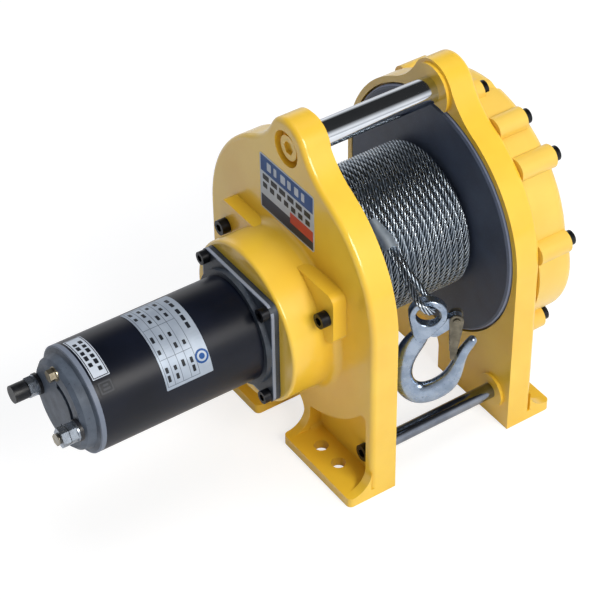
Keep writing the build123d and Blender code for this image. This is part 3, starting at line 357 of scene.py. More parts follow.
# Painted end casting: mid grey with dark grit, and a paler ring round the rim's corner, a painted
# highlight.
CAP_CAST = Finish(
    "grey_painted_end_casting", "#56606E", "#464F5C", rough=0.48, patch_mm=10, grain_mm=0.9,
    relief=0.3, depth_mm=0.18, speck="#222831", speck_mm=1.4, speck_share=0.06, edge="#6F7888",
    edge_r_mm=38.8, axis_yz_mm=MOTOR_AXIS,
)
# Drum paint over turned flanges: blue-grey, half matt, faint rings from the lathe; the paler ring
# at the flange's rim is a painted highlight.
DRUM_PAINT = Finish(
    "blue_grey_drum_paint", "#3E4658", "#4A5468", rough=0.46, rough_swing=0.06, patch_mm=35,
    grain_mm=1.4, relief=0.08, depth_mm=0.12, pattern=Pattern.TURNED, edge="#8C94AC",
    edge_r_mm=95.1, speck="#57617A", speck_mm=1.3, speck_share=0.08,
)
# Hard chrome on a ground bar: mirror bright, with faint grinding rings.
CHROME = Finish(
    "ground_chrome_bar", "#DDE2E9", "#CFD5DE", metallic=1.0, rough=0.10, rough_swing=0.03,
    patch_mm=25, grain_mm=0.5, relief=0.03, depth_mm=0.04, pattern=Pattern.TURNED,
    axis_yz_mm=UPPER_ROD_AXIS,
)
# Cold-drawn bar: a grey mirror, a little cloudier than chrome.
BRIGHT_BAR = Finish(
    "drawn_bright_steel", "#8E94A0", "#767D8A", metallic=1.0, rough=0.13, rough_swing=0.03,
    patch_mm=14, grain_mm=0.7, relief=0.06, depth_mm=0.05, pattern=Pattern.TURNED,
    axis_yz_mm=LOWER_ROD_AXIS,
)
# Galvanised strand wire: pale dull zinc on the crowns, with painted shade in the grooves between
# strands.
ROPE_WIRE = Finish(
    "galvanised_strand_wire", "#D6E0EA", "#AAB7C5", metallic=1.0, rough=0.27, rough_swing=0.08,
    patch_mm=9, grain_mm=0.5, relief=0.4, depth_mm=0.15, pattern=Pattern.WIRES,
)
# Inner wraps, nearly black between the outer ones: painted shade where the outer wraps hide them.
SHADED_INNER_ROPE = Finish(
    "shaded_inner_wraps", "#10161F", "#1A222D", metallic=0.5, rough=0.5, patch_mm=8, grain_mm=1.0,
)
# Drop-forged and zinc-plated steel: cool blue-grey with small pits and cloudy patches.
FORGED_ZINC = Finish(
    "forged_zinc_plated_steel", "#A9B7CA", "#8D9CB1", metallic=1.0, rough=0.27, rough_swing=0.07,
    patch_mm=9, grain_mm=0.9, relief=0.3, depth_mm=0.15, speck="#4C5768", speck_mm=2.2,
    speck_share=0.05,
)
# Pressed sheet with an olive bloom of the chromate bath.
LATCH_STEEL = Finish(
    "pressed_olive_chromate_sheet", "#7E7869", "#5C584E", metallic=0.9, rough=0.3, rough_swing=0.1,
    patch_mm=6, grain_mm=0.7, relief=0.15, depth_mm=0.06,
)
# Passivated zinc: cool grey, clouded by the bath.
ZINC = Finish(
    "passivated_zinc_plate", "#A9B2BE", "#858C96", metallic=0.9, rough=0.28, rough_swing=0.1,
    patch_mm=5, grain_mm=0.7, relief=0.12, depth_mm=0.05,
)
# Chromated zinc on the motor's long bolts: the same cloud with a warm straw tint.
YELLOW_ZINC = Finish(
    "yellow_chromate_zinc", "#A59C88", "#7F7664", metallic=0.9, rough=0.3, rough_swing=0.1,
    patch_mm=4, grain_mm=0.6, relief=0.12, depth_mm=0.05,
)
# Heat-blackened screws with a film of oil.
BLACK_OXIDE = Finish(
    "black_oxide_screw", "#101116", "#1C1E25", metallic=0.55, rough=0.36, patch_mm=4, grain_mm=0.6,
    relief=0.1, depth_mm=0.05,
)
# Aluminium sleeve squeezed in a press: pale, soft sheen, slightly clouded.
FERRULE_ALLOY = Finish(
    "pressed_aluminium_sleeve", "#C6D1DC", "#A5B2C0", metallic=0.75, rough=0.38, rough_swing=0.08,
    patch_mm=7, grain_mm=0.8, relief=0.12, depth_mm=0.06,
)
# Cut thread on plated steel: bright flanks in even rings, twice as coarse as the real pitch.
STUD = Finish(
    "cut_thread_steel", "#A39E92", "#8B867B", metallic=1.0, rough=0.32, patch_mm=3, grain_mm=1.25,
    relief=0.9, depth_mm=0.5, pattern=Pattern.THREAD,
)
# Moulded phenolic: near black, half matt, with no metal's glint.
INSULATOR = Finish(
    "moulded_phenolic", "#15161A", "#1E2026", rough=0.42, patch_mm=5, grain_mm=0.5, relief=0.1,
)
# Oiled bronze of the bushes: a brown, soft shine.
BRONZE = Finish("oiled_bronze", "#8C6A3A", "#75572E", metallic=1.0, rough=0.35, patch_mm=8)
# Hobbed and tempered gear steel: mid grey with the sheen of oil.
GEAR_STEEL = Finish(
    "hobbed_gear_steel", "#7C8087", "#63676E", metallic=1.0, rough=0.34, patch_mm=9
)
# Sintered iron: dark and porous, so it hardly shines.
SINTERED = Finish("sintered_iron", "#4C4E52", "#3B3D41", metallic=0.7, rough=0.55, patch_mm=8)
# Varnished copper wire: red-brown under a clear film.
COPPER = Finish("varnished_copper_winding", "#7A3B20", "#5B2C18", metallic=0.6, rough=0.4)
# Ferrite: charcoal, dull as a brick.
MAGNET = Finish("ferrite_magnet", "#2A2B2E", "#1F2023", rough=0.7, patch_mm=6)
# Pressed carbon: black and matt.
CARBON = Finish("pressed_carbon", "#18181A", "#101012", rough=0.75, patch_mm=3)
# Moulded lining: brown and matt, with the grit of its filler.
LINING = Finish("moulded_brake_lining", "#4A3B30", "#3B2F27", rough=0.8, patch_mm=3, grain_mm=0.8)

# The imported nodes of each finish.
NODES_OF: tuple[tuple[Finish, str], ...] = (
    (YELLOW, "left_side_frame right_side_frame upper_rod_screws"),
    (COVER_YELLOW, "gear_cover"),
    (DRUM_PAINT, "drum_barrel left_drum_flange right_drum_flange"),
    (BLACK_TUBE, "motor_tube"),
    (SLATE_CAST, "motor_flange"),
    (CAP_CAST, "motor_end_cap"),
    (CHROME, "upper_tie_rod"),
    (BRIGHT_BAR, "lower_tie_rod brush_springs latch_spring"),
    (BLACK_OXIDE, "bearing_plate_bolts lower_rod_screws motor_flange_screws cover_screws"),
    (ROPE_WIRE, "rope_tail wound_rope"),
    (FERRULE_ALLOY, "rope_ferrule"),
    (FORGED_ZINC, "hook"),
    (LATCH_STEEL, "latch_pin hook_latch"),
    (YELLOW_ZINC, "motor_through_bolts"),
    (ZINC, "terminal_washers terminal_nuts"),
    (STUD, "terminal_studs"),
    (INSULATOR, "brush_holder terminal_insulators terminal_cap_nut"),
    (BRONZE, "rear_motor_bearing front_motor_bearing input_shaft_bearing commutator"),
    (BRONZE, "left_drum_bush right_drum_bush input_shaft_bushes"),
    (GEAR_STEEL, "ring_gear first_sun_gear second_sun_gear input_gear motor_pinion"),
    (GEAR_STEEL, "first_planet_gear_1 first_planet_gear_2 first_planet_gear_3"),
    (GEAR_STEEL, "second_planet_gear_1 second_planet_gear_2 second_planet_gear_3"),
    (GEAR_STEEL, "input_shaft armature_shaft"),
    (SINTERED, "left_bearing_plate first_planet_carrier second_planet_carrier brake_rotor"),
    (COPPER, "armature_core"),
    (MAGNET, "motor_magnets"),
    (CARBON, "carbon_brushes"),
    (LINING, "brake_lining"),
)
CAD_FINISHES = {name: finish for finish, names in NODES_OF for name in names.split()}


def dress(obj: bpy.types.Object, finishes: Sequence[Finish]) -> None:
    """Give an object the materials of its finishes.

    Args:
        obj: Object to dress.
        finishes: Its finishes in slot order.
    """
    obj.data.materials.clear()
    for finish in finishes:
        obj.data.materials.append(finish.material())


def surface(
    name: str,
    points: np.ndarray,
    body: str,
    finish: Finish,
    capped: bool = True,
    uv: Optional[np.ndarray] = None,
) -> bpy.types.Object:
    """Make a smooth piece from a grid of points, rows along it and columns closed round it.

    Args:
        name: Name of the piece.
        points: Array of shape (rows, columns, 3), in metres.
        body: Body that the piece rides on.
        finish: Its finish.
        capped: Whether the first and last rows are closed with a face.
        uv: Array of shape (rows, columns + 1, 2) with the surface coordinates, if it has any.

    Returns:
        The new object.
    """
    rows, columns = points.shape[:2]
    row, column = np.broadcast_arrays(np.arange(rows - 1)[:, None], np.arange(columns)[None, :])
    ahead = (column + 1) % columns
    here, there = row * columns, (row + 1) * columns
    quads = np.stack([here + column, here + ahead, there + ahead, there + column], axis=-1)
    faces: list[Any] = quads.reshape(-1, 4).tolist()
    if capped:
        faces.append(list(range(columns))[::-1])
        faces.append(list(range((rows - 1) * columns, rows * columns)))
    mesh = bpy.data.meshes.new(name)
    mesh.from_pydata(points.reshape(-1, 3).tolist(), [], faces)
    if uv is not None:
        layer = mesh.uv_layers.new(name="along")
        four = [uv[row, column], uv[row, column + 1], uv[row + 1, column + 1], uv[row + 1, column]]
        corners = np.stack(four, axis=-2).reshape(-1, 2)
        full = np.zeros((len(mesh.loops), 2))
        full[: len(corners)] = corners
        layer.data.foreach_set("uv", full.ravel())
    mesh.polygons.foreach_set("use_smooth", np.full(len(mesh.polygons), True))
    mesh.validate()
    mesh.update()
    obj = bpy.data.objects.new(name, mesh)
    bpy.context.scene.collection.objects.link(obj)
    dress(obj, [finish])
    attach(obj, body)
    LOG.info("%s: %d points", name, rows * columns)
    return obj


def cross(a: np.ndarray, b: np.ndarray) -> np.ndarray:
    """Unit vectors at right angles to a and b, row by row."""
    c = np.cross(a, b)
    return c / np.linalg.norm(c, axis=-1, keepdims=True)


def way_along(path: np.ndarray) -> np.ndarray:
    """Length of the path up to each of its points."""
    steps = np.linalg.norm(np.diff(path, axis=0), axis=1)
    return np.concatenate([[0], np.cumsum(steps)])


def strand_section(radius: float, per_strand: int) -> tuple[np.ndarray, np.ndarray]:
    """Outline of a wire rope's cross-section: the outer envelope of its strands.

    A strand of a third of the rope's radius lies at two thirds of it, so the envelope is
    r = R / 3 * (2 cos a + sqrt(1 - 4 sin^2 a)), with a the angle from the nearest strand. The
    root falls to nought where two strands meet, and is held just above it.

    Args:
        radius: Radius of the rope, in metres.
        per_strand: Number of points on each strand.

    Returns:
        Angles and radii of the outline.
    """
    count = STRANDS * per_strand
    angle = np.arange(count) / count * 2 * math.pi
    half = math.pi / STRANDS
    away = (angle + half) % (2 * half) - half
    inner = np.clip(1 - 4 * np.sin(away) ** 2, 0.03, 1)
    return angle, radius / 3 * (2 * np.cos(away) + np.sqrt(inner))


def laid_rope(
    path: np.ndarray, side: np.ndarray, radius: float, lay: float, per_strand: int = 4
) -> tuple[np.ndarray, np.ndarray]:
    """Carry the strands' outline along a path while it turns once in each lay length.

    A point is P(s) + r(a) * (cos(a + 2 pi s / lay) * N + sin(a + 2 pi s / lay) * B).

    Args:
        path: Points of the rope's centreline, in metres.
        side: Vectors that fix the section's first direction along the path.
        radius: Radius of the rope.
        lay: Length in which the strands go once round.
        per_strand: Points on each strand's outline.

    Returns:
        The grid of points, and its UV grid: rope widths along it, and strands round it.
    """
    tangent = np.gradient(path, axis=0)
    tangent /= np.linalg.norm(tangent, axis=1, keepdims=True)
    second = cross(tangent, side)
    first = cross(second, tangent)
    s = way_along(path)
    angle, r = strand_section(radius, per_strand)
    turn = angle[None, :] + 2 * math.pi * s[:, None] / lay
    grid = (
        path[:, None, :]
        + (r * np.cos(turn))[..., None] * first[:, None, :]
        + (r * np.sin(turn))[..., None] * second[:, None, :]
    )
    around = np.append(angle, 2 * math.pi) / (2 * math.pi) * STRANDS
    uv = np.stack(np.broadcast_arrays(s[:, None] / (2 * radius), around[None, :]), axis=-1)
    return grid, uv


@dataclass
class Drum:
    """Rope drum: the wraps of wire rope that hide the plain ring."""

    axis_z: float = DRUM_AXIS[1] * MM
    rope_r: float = 2.5 * MM
    centre_r: float = 54.35 * MM
    pitch: float = 5.208 * MM
    turns: int = 18
    lay: float = 28.0 * MM
    per_turn: int = 190
    # The wraps don't lie quite true: their radius sways by this much, at two rates at once.
    sway: float = 0.12 * MM
    sway_rates: tuple[float, float] = (0.37, 1.7)
    under_half: float = 49.3 * MM
    under_r: float = 49.9 * MM
    under_ridge: float = 1.5 * MM
    under_end_r: float = 32.1 * MM
    under_rows: int = 12
    under_columns: int = 96

    def top_layer(self) -> None:
        """Lay the outer layer of rope as one helix, x = pitch * a / 2 pi, r nearly constant."""
        a = np.linspace(0, self.turns * 2 * math.pi, self.turns * self.per_turn)
        x = (a / a[-1] - 0.5) * self.pitch * self.turns
        slow, quick = self.sway_rates
        r = self.centre_r + self.sway * np.sin(a * slow) * np.sin(a * quick)
        path = np.stack([x, r * np.cos(a), self.axis_z + r * np.sin(a)], axis=1)
        side = np.stack([0 * a, np.cos(a), np.sin(a)], axis=1)
        grid, uv = laid_rope(path, side, self.rope_r, self.lay)
        rope = surface("wound_rope_wraps", grid, "drum", ROPE_WIRE, uv=uv)
        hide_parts("wound_rope")

    def under_layer(self) -> None:
        """Make the layers below as a ridged sleeve, r = R + h |sin(pi x / pitch - a / 2)|."""
        rows = (self.turns + 1) * self.under_rows + 1
        x = np.linspace(-self.under_half, self.under_half, rows)[:, None]
        a = np.linspace(0, 2 * math.pi, self.under_columns, endpoint=False)[None, :]
        r = self.under_r + self.under_ridge * np.abs(np.sin(math.pi * x / self.pitch - a / 2))
        r[0] = r[-1] = self.under_end_r
        grid = np.stack(
            np.broadcast_arrays(x, r * np.cos(a), self.axis_z + r * np.sin(a)), axis=-1
        )
        # The nearly black inner wraps are painted shade.
        sleeve = surface("inner_rope_layers", grid, "drum", SHADED_INNER_ROPE, capped=False)

    def build(self) -> None:
        """Make both layers."""
        self.top_layer()
        self.under_layer()


@dataclass
class RopeEnd:
    """Free end of the wire rope, from the wraps through the ferrule and round the hook's eye."""

    radius: float = 2.5 * MM
    lay: float = 31.0 * MM
    length: float = 167.9 * MM
    rows: int = 260
    per_strand: int = 6
    # The route's points, in millimetres; those between its corners keep the long runs straight.
    route: tuple[tuple[float, float, float], ...] = (
        (-26.80, -15.28, 200.82),
        (-26.80, -22.37, 198.94),
        (-26.80, -28.77, 195.42),
        (-26.80, -47.38, 185.19),
        (-26.80, -68.41, 173.63),
        (-30.54, -91.06, 164.26),
        (-32.25, -101.38, 159.99),
        (-24.61, -104.20, 152.15),
        (-16.97, -96.08, 150.34),
        (-18.68, -86.94, 156.77),
        (-22.42, -66.89, 170.87),
        (-22.42, -51.99, 179.06),
    )
    # Two directions in the plane of the eye's loop: the rope's run, and across the loop.
    run: tuple[float, float, float] = (0.0, -0.8763, -0.4818)
    across: tuple[float, float, float] = (-0.8113, -0.2818, 0.5126)

    def line(self) -> np.ndarray:
        """Read the points of the smooth spline that has the route as its control points.

        Returns:
            Points of the centreline, in metres.
        """
        curve = bpy.data.curves.new("tail_route", "CURVE")
        curve.dimensions = "3D"
        curve.resolution_u = 14
        spline = curve.splines.new("NURBS")
        spline.points.add(len(self.route) - 1)
        flat = np.concatenate([np.array(self.route) * MM, np.ones((len(self.route), 1))], axis=1)
        spline.points.foreach_set("co", flat.ravel())
        spline.order_u = 3
        spline.use_endpoint_u = True
        carrier = bpy.data.objects.new("tail_route", curve)
        bpy.context.scene.collection.objects.link(carrier)
        bpy.context.view_layer.update()
        mesh = bpy.data.meshes.new_from_object(carrier)
        points = np.zeros(len(mesh.vertices) * 3)
        mesh.vertices.foreach_get("co", points)
        bpy.data.objects.remove(carrier)
        bpy.data.meshes.remove(mesh)
        bpy.data.curves.remove(curve)
        return points.reshape(-1, 3)

    def build(self) -> None:
        path = self.line()
        s = way_along(path)
        even = np.linspace(0, s[-1], self.rows)
        smooth = np.stack([np.interp(even, s, path[:, k]) for k in range(3)], axis=1)
        normal = np.cross(self.run, self.across)
        side = np.broadcast_to(normal / np.linalg.norm(normal), smooth.shape)
        grid, uv = laid_rope(smooth, side, self.radius, self.lay, self.per_strand)
        rope = surface("rope_end", grid, "frame", ROPE_WIRE, uv=uv)
        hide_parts("rope_tail")


class Ink(Enum):
    """Printed colours of the plates."""

    # Brushed foil: pale and cool, with a metal's soft sheen.
    FOIL = Finish("brushed_foil_plate", "#A9B4C2", "#9BA6B5", metallic=0.3, rough=0.42, patch_mm=12)
    # Prints on vinyl: flat colours under one satin film.
    WHITE = Finish("white_vinyl_print", "#C3CBD6", "#B8C1CD", rough=0.45, patch_mm=15)
    BLUE = Finish("blue_vinyl_print", "#0F4C90", "#0D4482", rough=0.42, specular=0.3, patch_mm=15)
    NAVY = Finish("navy_vinyl_print", "#14233F", "#192A4A", rough=0.42, specular=0.3, patch_mm=15)
    RED = Finish("red_vinyl_print", "#C8463F", "#BC3E38", rough=0.42, specular=0.3, patch_mm=15)
    # Inks of bars and ruled lines, which dull the film a little.
    BLACK = Finish("black_print", "#14171E", "#1B1F28", rough=0.45, specular=0.3, patch_mm=10)
    GREY = Finish("grey_print", "#5D6570", "#535B66", rough=0.4, patch_mm=10)
    # Stamped enamel: hardly paler than the tube round it.
    DIM = Finish("stamped_enamel", "#22262F", "#2B303A", rough=0.5, patch_mm=3)


class Rect(NamedTuple):
    """Printed field of a plate: its edges and corner radius in millimetres, ink and level."""

    left: float
    low: float
    right: float
    high: float
    ink: Ink
    corner: float = 0.0
    level: int = 1


@dataclass
class Plate:
    """Thin plate with printed fields, laid on a surface that a function gives, in millimetres."""

    name: str
    size: tuple[float, float]
    onto: Onto
    base: Ink
    fields: list[Rect] = field(default_factory=list)
    corner: float = 2.0
    thick: float = 0.25
    ink: float = 0.05
    gap: float = 0.02
    grid: float = 2.5
    corner_rows: int = 5

    def slab(self, rect: Rect, low: float, high: float) -> tuple[np.ndarray, list[list[int]]]:
        """Make one closed slab with rounded corners over a rectangle of the plate.

        A row at height v has half width w = W - c + sqrt(c^2 - t^2), with t how far v lies
        inside the corner's height c, so the sides curve in at the corners.

        Args:
            rect: The field.
            low: Height of its back above the carrying surface.
            high: Height of its front.

        Returns:
            Its points and its faces.
        """
        u0, v0, u1, v1, _, corner, _ = rect
        nu, nv = (
            max(2, int(math.ceil(span / self.grid)) + 1) for span in (u1 - u0, v1 - v0)
        )
        v = np.linspace(v0, v1, nv)
        if corner:
            bend = corner * (1 - np.cos(np.linspace(0, math.pi / 2, self.corner_rows)))
            v = np.unique(np.round(np.concatenate([v, v0 + bend, v1 - bend]), 5))
        t = np.clip(corner - np.minimum(v - v0, v1 - v), 0, corner)
        half = (u1 - u0) / 2 - corner + np.sqrt(np.maximum(corner**2 - t**2, 0))
        u = (u0 + u1) / 2 + half[:, None] * np.linspace(-1, 1, nu)[None, :]
        vv = np.broadcast_to(v[:, None], u.shape)
        front = self.onto(u, vv, high).reshape(-1, 3)
        back = self.onto(u, vv, low).reshape(-1, 3)
        count = u.size
        k = np.arange(count).reshape(u.shape)
        quads = np.stack([k[:-1, :-1], k[:-1, 1:], k[1:, 1:], k[1:, :-1]], -1).reshape(-1, 4)
        edge = np.concatenate([k[0, :-1], k[:-1, -1], k[-1, :0:-1], k[:0:-1, 0]])
        ahead = np.roll(edge, -1)
        walls = np.stack([edge, edge + count, ahead + count, ahead], -1)
        faces = np.concatenate([quads, quads[:, ::-1] + count, walls])
        return np.concatenate([front, back]), faces.tolist()

    def build(self) -> None:
        """Make the plate with all its printed fields as one piece."""
        w, h = self.size
        rects = [Rect(-w / 2, -h / 2, w / 2, h / 2, self.base, self.corner), *self.fields]
        inks: list[Ink] = []
        points: list[np.ndarray] = []
        faces: list[list[int]] = []
        slots: list[int] = []
        offset = 0
        for k, rect in enumerate(rects):
            low = self.thick if k else self.gap
            high = self.thick + self.ink * rect.level if k else self.thick
            made, found = self.slab(rect, low, high)
            if rect.ink not in inks:
                inks.append(rect.ink)
            points.append(made)
            faces += [[i + offset for i in face] for face in found]
            slots += [inks.index(rect.ink)] * len(found)
            offset += len(made)
        mesh = bpy.data.meshes.new(self.name)
        mesh.from_pydata(np.concatenate(points).tolist(), [], faces)
        obj = bpy.data.objects.new(self.name, mesh)
        bpy.context.scene.collection.objects.link(obj)
        dress(obj, [ink.value for ink in inks])
        mesh.polygons.foreach_set("material_index", slots)
        mesh.update()
        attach(obj, "frame")
        LOG.info("%s: %d fields", self.name, len(self.fields))


@dataclass
class Labels:
    """The plates on the side frame and on the motor, with fields and no words."""

    frame_x: float = -72.8
    frame_centre: tuple[float, float] = (0.0, 205.0)
    tube_r: float = 40.0
    axis_z: float = MOTOR_AXIS[1]

    def on_frame(self, u: np.ndarray, v: np.ndarray, lift: float) -> np.ndarray:
        """Place plate coordinates on the frame's outer face: y = Y - u and z = Z + v.

        Args:
            u: Coordinates toward the front, in millimetres.
            v: Coordinates upward.
            lift: Height above the face.

        Returns:
            Points in metres.
        """
        y = self.frame_centre[0] - u
        z = self.frame_centre[1] + v
        return np.stack(np.broadcast_arrays(self.frame_x - lift, y, z), -1) * MM

    def on_tube(self, x0: float, middle: float) -> Onto:
        """Give the function that rolls a plate round the motor: a = middle - v / R.

        Args:
            x0: Place of the plate's middle along the motor, in millimetres.
            middle: Angle of its middle about the motor's axis, in degrees.

        Returns:
            The function that places its coordinates.
        """

        def place(u: np.ndarray, v: np.ndarray, lift: float) -> np.ndarray:
            """Place plate coordinates; u runs along the motor and v over its top.

            Args:
                u: Coordinates along the motor, in millimetres.
                v: Coordinates round it.
                lift: Height above the tube.

            Returns:
                Points in metres.
            """
            a = math.radians(middle) - v / self.tube_r
            r = self.tube_r + lift
            y = r * np.cos(a)
            z = self.axis_z + r * np.sin(a)
            return np.stack(np.broadcast_arrays(x0 + u, y, z), -1) * MM

        return place

    def frame_fields(self) -> list[Rect]:
        """Lay out coloured bands and rows of short bars freely.

        Returns:
            The fields of the frame's label.
        """
        fields = [
            Rect(-31.8, 9.0, 31.8, 22.6, Ink.BLUE),
            Rect(-31.8, -22.6, 31.8, -11.5, Ink.NAVY),
            Rect(4.0, -15.4, 31.8, -6.4, Ink.RED, level=2),
        ]
        for row, (count, length) in enumerate(((6, 7.6), (7, 5.4))):
            v = 4.6 - row * 7.0
            for k in range(count):
                u = -29.6 + k * 61.0 / count
                fields.append(Rect(u, v - 2.3, u + length, v + 2.3, Ink.BLACK, 0.6))
        for k, length in enumerate((5.0, 3.4, 5.8, 4.2, 5.0, 3.8)):
            u = -24.0 + k * 8.4
            fields.append(Rect(u, 12.4, u + length, 19.4, Ink.WHITE, 0.8, 2))
        return fields

    def motor_fields(self) -> list[Rect]:
        """Lay out a ruled table, short grey bars and a plain blue ring.

        Returns:
            The fields of the motor's rating plate.
        """
        left, top = -17.2, 35.3
        rule = 0.4
        columns = (left, -11.5, -5.0, 1.5, 8.0)
        fields = [Rect(u, -top, u + rule, top, Ink.GREY) for u in columns]
        fields += [
            Rect(left, v, 8.4, v + rule, Ink.GREY) for v in (-top, -16.0, 8.0, top - rule)
        ]
        for column, u in enumerate((-15.8, -9.2, -2.6, 3.9)):
            for row, v in enumerate((-32.0, -25.5, -12.0, -3.0, 12.0, 19.5, 27.0)):
                if (row + 2 * column) % 5 != 4:
                    end = v + 4.8 - 0.7 * ((row + column) % 3)
                    fields.append(Rect(u, v, u + 2.3, end, Ink.BLACK, 0.4))
        last = (-3.0, 3.5, 10.0, 18.0, 24.5)
        fields += [Rect(12.2, v, 14.8, v + 4.9, Ink.BLACK, 0.5) for v in last]
        u, v = 13.0, -24.0
        for level, (r, ink) in enumerate(((5.2, Ink.BLUE), (3.7, Ink.FOIL), (2.2, Ink.BLUE)), 1):
            fields.append(Rect(u - r, v - r, u + r, v + r, ink, r, level))
        return fields

    def small_fields(self) -> list[Rect]:
        """Lay out a thin frame round two rows of heavy bars.

        Returns:
            The fields of the motor's small plate.
        """
        fields = [
            Rect(-5.6, -20.6, 5.6, -20.0, Ink.BLACK),
            Rect(-5.6, 20.0, 5.6, 20.6, Ink.BLACK),
            Rect(-5.9, -20.6, -5.3, 20.6, Ink.BLACK),
            Rect(5.3, -20.6, 5.9, 20.6, Ink.BLACK),
        ]
        for u, first, count in ((-4.0, -12.0, 5), (0.9, -16.5, 6)):
            for k in range(count):
                v = first + k * 5.3
                fields.append(Rect(u, v, u + 2.9, v + 3.2 + 0.8 * (k % 2), Ink.BLACK, 0.5))
        return fields

    def stamp_fields(self) -> list[Rect]:
        """Lay out a raised square ring with two short bars in it.

        Returns:
            The fields of the stamp on the motor's tube.
        """
        return [
            Rect(-5.0, -4.2, 5.0, 4.2, Ink.DIM, 1.0, 4),
            Rect(-4.0, -3.2, 4.0, 3.2, Ink.BLACK, 0.8, 5),
            Rect(-2.8, -2.1, 2.8, -0.6, Ink.DIM, 0.6, 8),
            Rect(-1.8, 0.6, 2.2, 2.0, Ink.DIM, 0.6, 8),
        ]

    def build(self) -> None:
        """Make all plates."""
        rating, small = self.on_tube(-180.3, 113.0), self.on_tube(-239.6, 96.0)
        stamp = self.on_tube(-239.6, 136.5)
        for name, size, onto, base, fields, corner, thick in (
            ("frame_label", (66.0, 47.6), self.on_frame, Ink.WHITE, self.frame_fields(), 2.0, 0.25),
            ("motor_rating_plate", (37.0, 75.0), rating, Ink.FOIL, self.motor_fields(), 0.6, 0.3),
            ("motor_small_plate", (13.0, 42.5), small, Ink.WHITE, self.small_fields(), 0.4, 0.25),
            ("motor_stamp", (11.6, 9.8), stamp, Ink.BLACK, self.stamp_fields(), 1.2, 0.2),
        ):
            Plate(name, size, onto, base, fields, corner, thick).build()


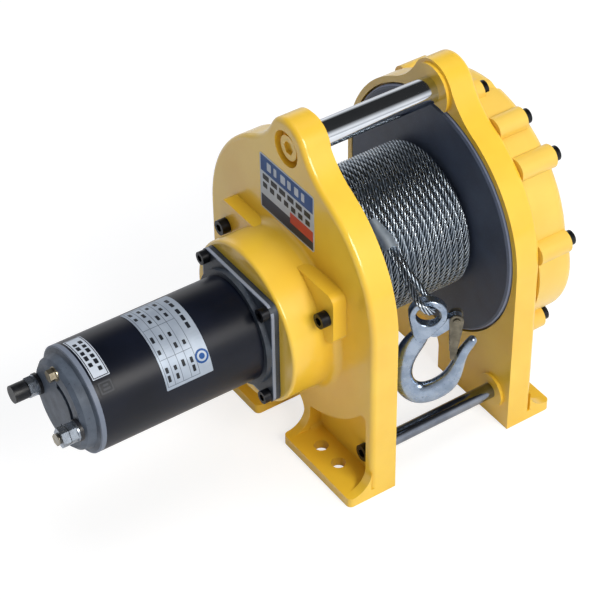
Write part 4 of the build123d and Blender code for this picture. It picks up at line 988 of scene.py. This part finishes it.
@dataclass
class Studio:
    """Pale floor, soft lamps, and the camera at the photograph's angle."""

    azimuth: float = 33.755
    elevation: float = 40.357
    roll: float = -0.929
    distance: float = 1.578236
    slide: tuple[float, float] = (-0.0521314, -0.0329909)
    target_z: float = 0.1236
    lens: float = 130.0474
    sensor: float = 36.0
    far: float = 20.0
    # The lamps look here.
    aim: tuple[float, float, float] = (0.0, 0.0, 0.13)
    floor_half: float = 6.0
    floor_z: float = -0.0002

    def basis(self) -> tuple[np.ndarray, np.ndarray, np.ndarray]:
        """Work out the camera's directions from its three angles.

        Returns:
            Its right, up and back as unit vectors.
        """
        az, el, roll = (math.radians(v) for v in (self.azimuth, self.elevation, self.roll))
        back = np.array([-math.sin(az) * math.cos(el), -math.cos(az) * math.cos(el), math.sin(el)])
        right = np.array([math.cos(az), -math.sin(az), 0.0])
        up = np.cross(back, right)
        turned = math.cos(roll) * right + math.sin(roll) * up
        return turned, -math.sin(roll) * right + math.cos(roll) * up, back

    def camera(self) -> None:
        """Place the camera where the photograph was taken."""
        right, up, back = self.basis()
        place = np.array([0, 0, self.target_z]) + back * self.distance
        place = place + right * self.slide[0] + up * self.slide[1]
        data = bpy.data.cameras.new("camera")
        data.lens = self.lens
        data.sensor_width = self.sensor
        data.clip_end = self.far
        obj = bpy.data.objects.new("camera", data)
        bpy.context.scene.collection.objects.link(obj)
        matrix = np.eye(4)
        matrix[:3] = np.stack([right, up, back, place], axis=1)
        obj.matrix_world = Matrix(matrix.tolist())
        bpy.context.scene.camera = obj

    def lamp(
        self,
        name: str,
        place: Sequence[float],
        size: float,
        power: float,
        tint: str,
        mirrored: bool = True,
    ) -> None:
        """Add a soft square lamp that looks at the drum.

        Args:
            name: Name of the lamp.
            place: Its position in metres.
            size: Side of the square.
            power: Power in watts.
            tint: Colour of its light.
            mirrored: Whether glossy surfaces show it.
        """
        data = bpy.data.lights.new(name, "AREA")
        data.shape = "SQUARE"
        data.size = size
        data.energy = power
        data.color = linear(tint)[:3]
        obj = bpy.data.objects.new(name, data)
        obj.location = place
        obj.visible_glossy = mirrored
        aim = Vector(self.aim) - Vector(place)
        obj.rotation_euler = aim.to_track_quat("-Z", "Y").to_euler()
        bpy.context.scene.collection.objects.link(obj)

    def world(self) -> None:
        """Light from all round for surfaces, a room for gloss, and white for the camera."""
        world = bpy.data.worlds.new("studio")
        bpy.context.scene.world = world
        world.use_nodes = True
        tree = world.node_tree
        tree.nodes.clear()
        ray = node(tree, "LightPath").outputs
        way = node(tree, "SeparateXYZ", {"Vector": node(tree, "TexCoord").outputs["Generated"]})
        x, z = way.outputs["X"], way.outputs["Z"]
        # The motor's side is dimmer than the other, and a gloss sees the ceiling dark. Each row
        # is a direction, the band along it, and the light at the band's two ends.
        bands = ((x, -1.0, 1.0, 0.22, 0.58), (z, 0.2, 0.6, 1.0, 0.03), (x, -1.0, 0.1, 0.5, 1.0))
        keys = ("Value", "From Min", "From Max", "To Min", "To Max")
        soft, high, side = (
            node(tree, "MapRange", dict(zip(keys, band))).outputs[0] for band in bands
        )
        dim = node(tree, "Math", {0: high, 1: side}, operation="MULTIPLY").outputs[0]
        white = (1, 1, 1, 1)
        fill, room, plain = (
            node(tree, "Background", {"Color": tint, "Strength": strength}).outputs[0]
            for tint, strength in ((linear("#E9EEF8"), soft), (white, dim), (white, 1.0))
        )
        sharp = {0: ray["Is Glossy Ray"], 1: ray["Is Transmission Ray"]}
        mirror = node(tree, "Math", sharp, operation="MAXIMUM").outputs[0]
        around = node(tree, "MixShader", {0: mirror, 1: fill, 2: room}).outputs[0]
        seen = node(tree, "MixShader", {0: ray["Is Camera Ray"], 1: around, 2: plain}).outputs[0]
        node(tree, "OutputWorld", {"Surface": seen})

    def floor(self) -> None:
        """Lay the pale floor below the feet."""
        mesh = bpy.data.meshes.new("floor")
        h = self.floor_half
        mesh.from_pydata([(-h, -h, 0), (h, -h, 0), (h, h, 0), (-h, h, 0)], [], [[0, 1, 2, 3]])
        obj = bpy.data.objects.new("floor", mesh)
        obj.location = (0, 0, self.floor_z)
        bpy.context.scene.collection.objects.link(obj)
        paper = bpy.data.materials.new("white_studio_paper")
        paper.use_nodes = True
        tree = paper.node_tree
        tree.nodes.clear()
        place = node(tree, "TexCoord").outputs["Object"]
        noise = node(tree, "TexNoise", {"Vector": place, "Scale": 3.0})
        whites = {0: noise.outputs["Fac"], 6: linear("#F4F4F4"), 7: linear("#FAFAFA")}
        tone = node(tree, "Mix", whites, data_type="RGBA")
        real = node(tree, "BsdfPrincipled", {"Base Color": tone.outputs[2], "Roughness": 0.9})
        # The camera sees the paper near white, with the object's shadow still on it.
        shade = node(tree, "BsdfDiffuse", {"Color": linear("#A6A6A6")})
        glow = node(tree, "Emission", {"Strength": 0.72})
        lit = node(tree, "AddShader", {0: shade.outputs[0], 1: glow.outputs[0]})
        ray = node(tree, "LightPath").outputs["Is Camera Ray"]
        shown = node(tree, "MixShader", {0: ray, 1: real.outputs[0], 2: lit.outputs[0]})
        node(tree, "OutputMaterial", {"Surface": shown.outputs[0]})
        mesh.materials.append(paper)

    def build(self) -> None:
        """Set up camera, floor, world and lamps."""
        self.camera()
        self.floor()
        self.world()
        self.lamp("key", (0.15, -1.7, 1.5), 0.9, 31.5, "#FFFCF6")
        self.lamp("top", (0.3, 0.2, 2.3), 1.5, 19.0, "#FFFFFF", mirrored=False)
        bpy.context.scene.view_settings.view_transform = "Standard"


def dress_solids() -> None:
    """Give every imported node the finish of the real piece."""
    for name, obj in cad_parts.items():
        dress(obj, [CAD_FINISHES[name]])
    LOG.info("dressed %d packed pieces", len(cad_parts))


def keep_sizes() -> None:
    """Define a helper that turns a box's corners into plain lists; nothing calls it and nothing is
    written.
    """

    def plain(box: Any) -> list[list[float]]:
        """Turn the two corners of a box into plain lists."""
        return [[float(v) for v in corner] for corner in box]


def main() -> None:
    """Build camera and rope first, then the other pieces."""
    logging.basicConfig(level=logging.INFO, format="%(message)s")
    Studio().build()
    RopeEnd().build()
    Drum().build()
    dress_solids()
    Labels().build()
    keep_sizes()


if __name__ == "__main__":
    main()
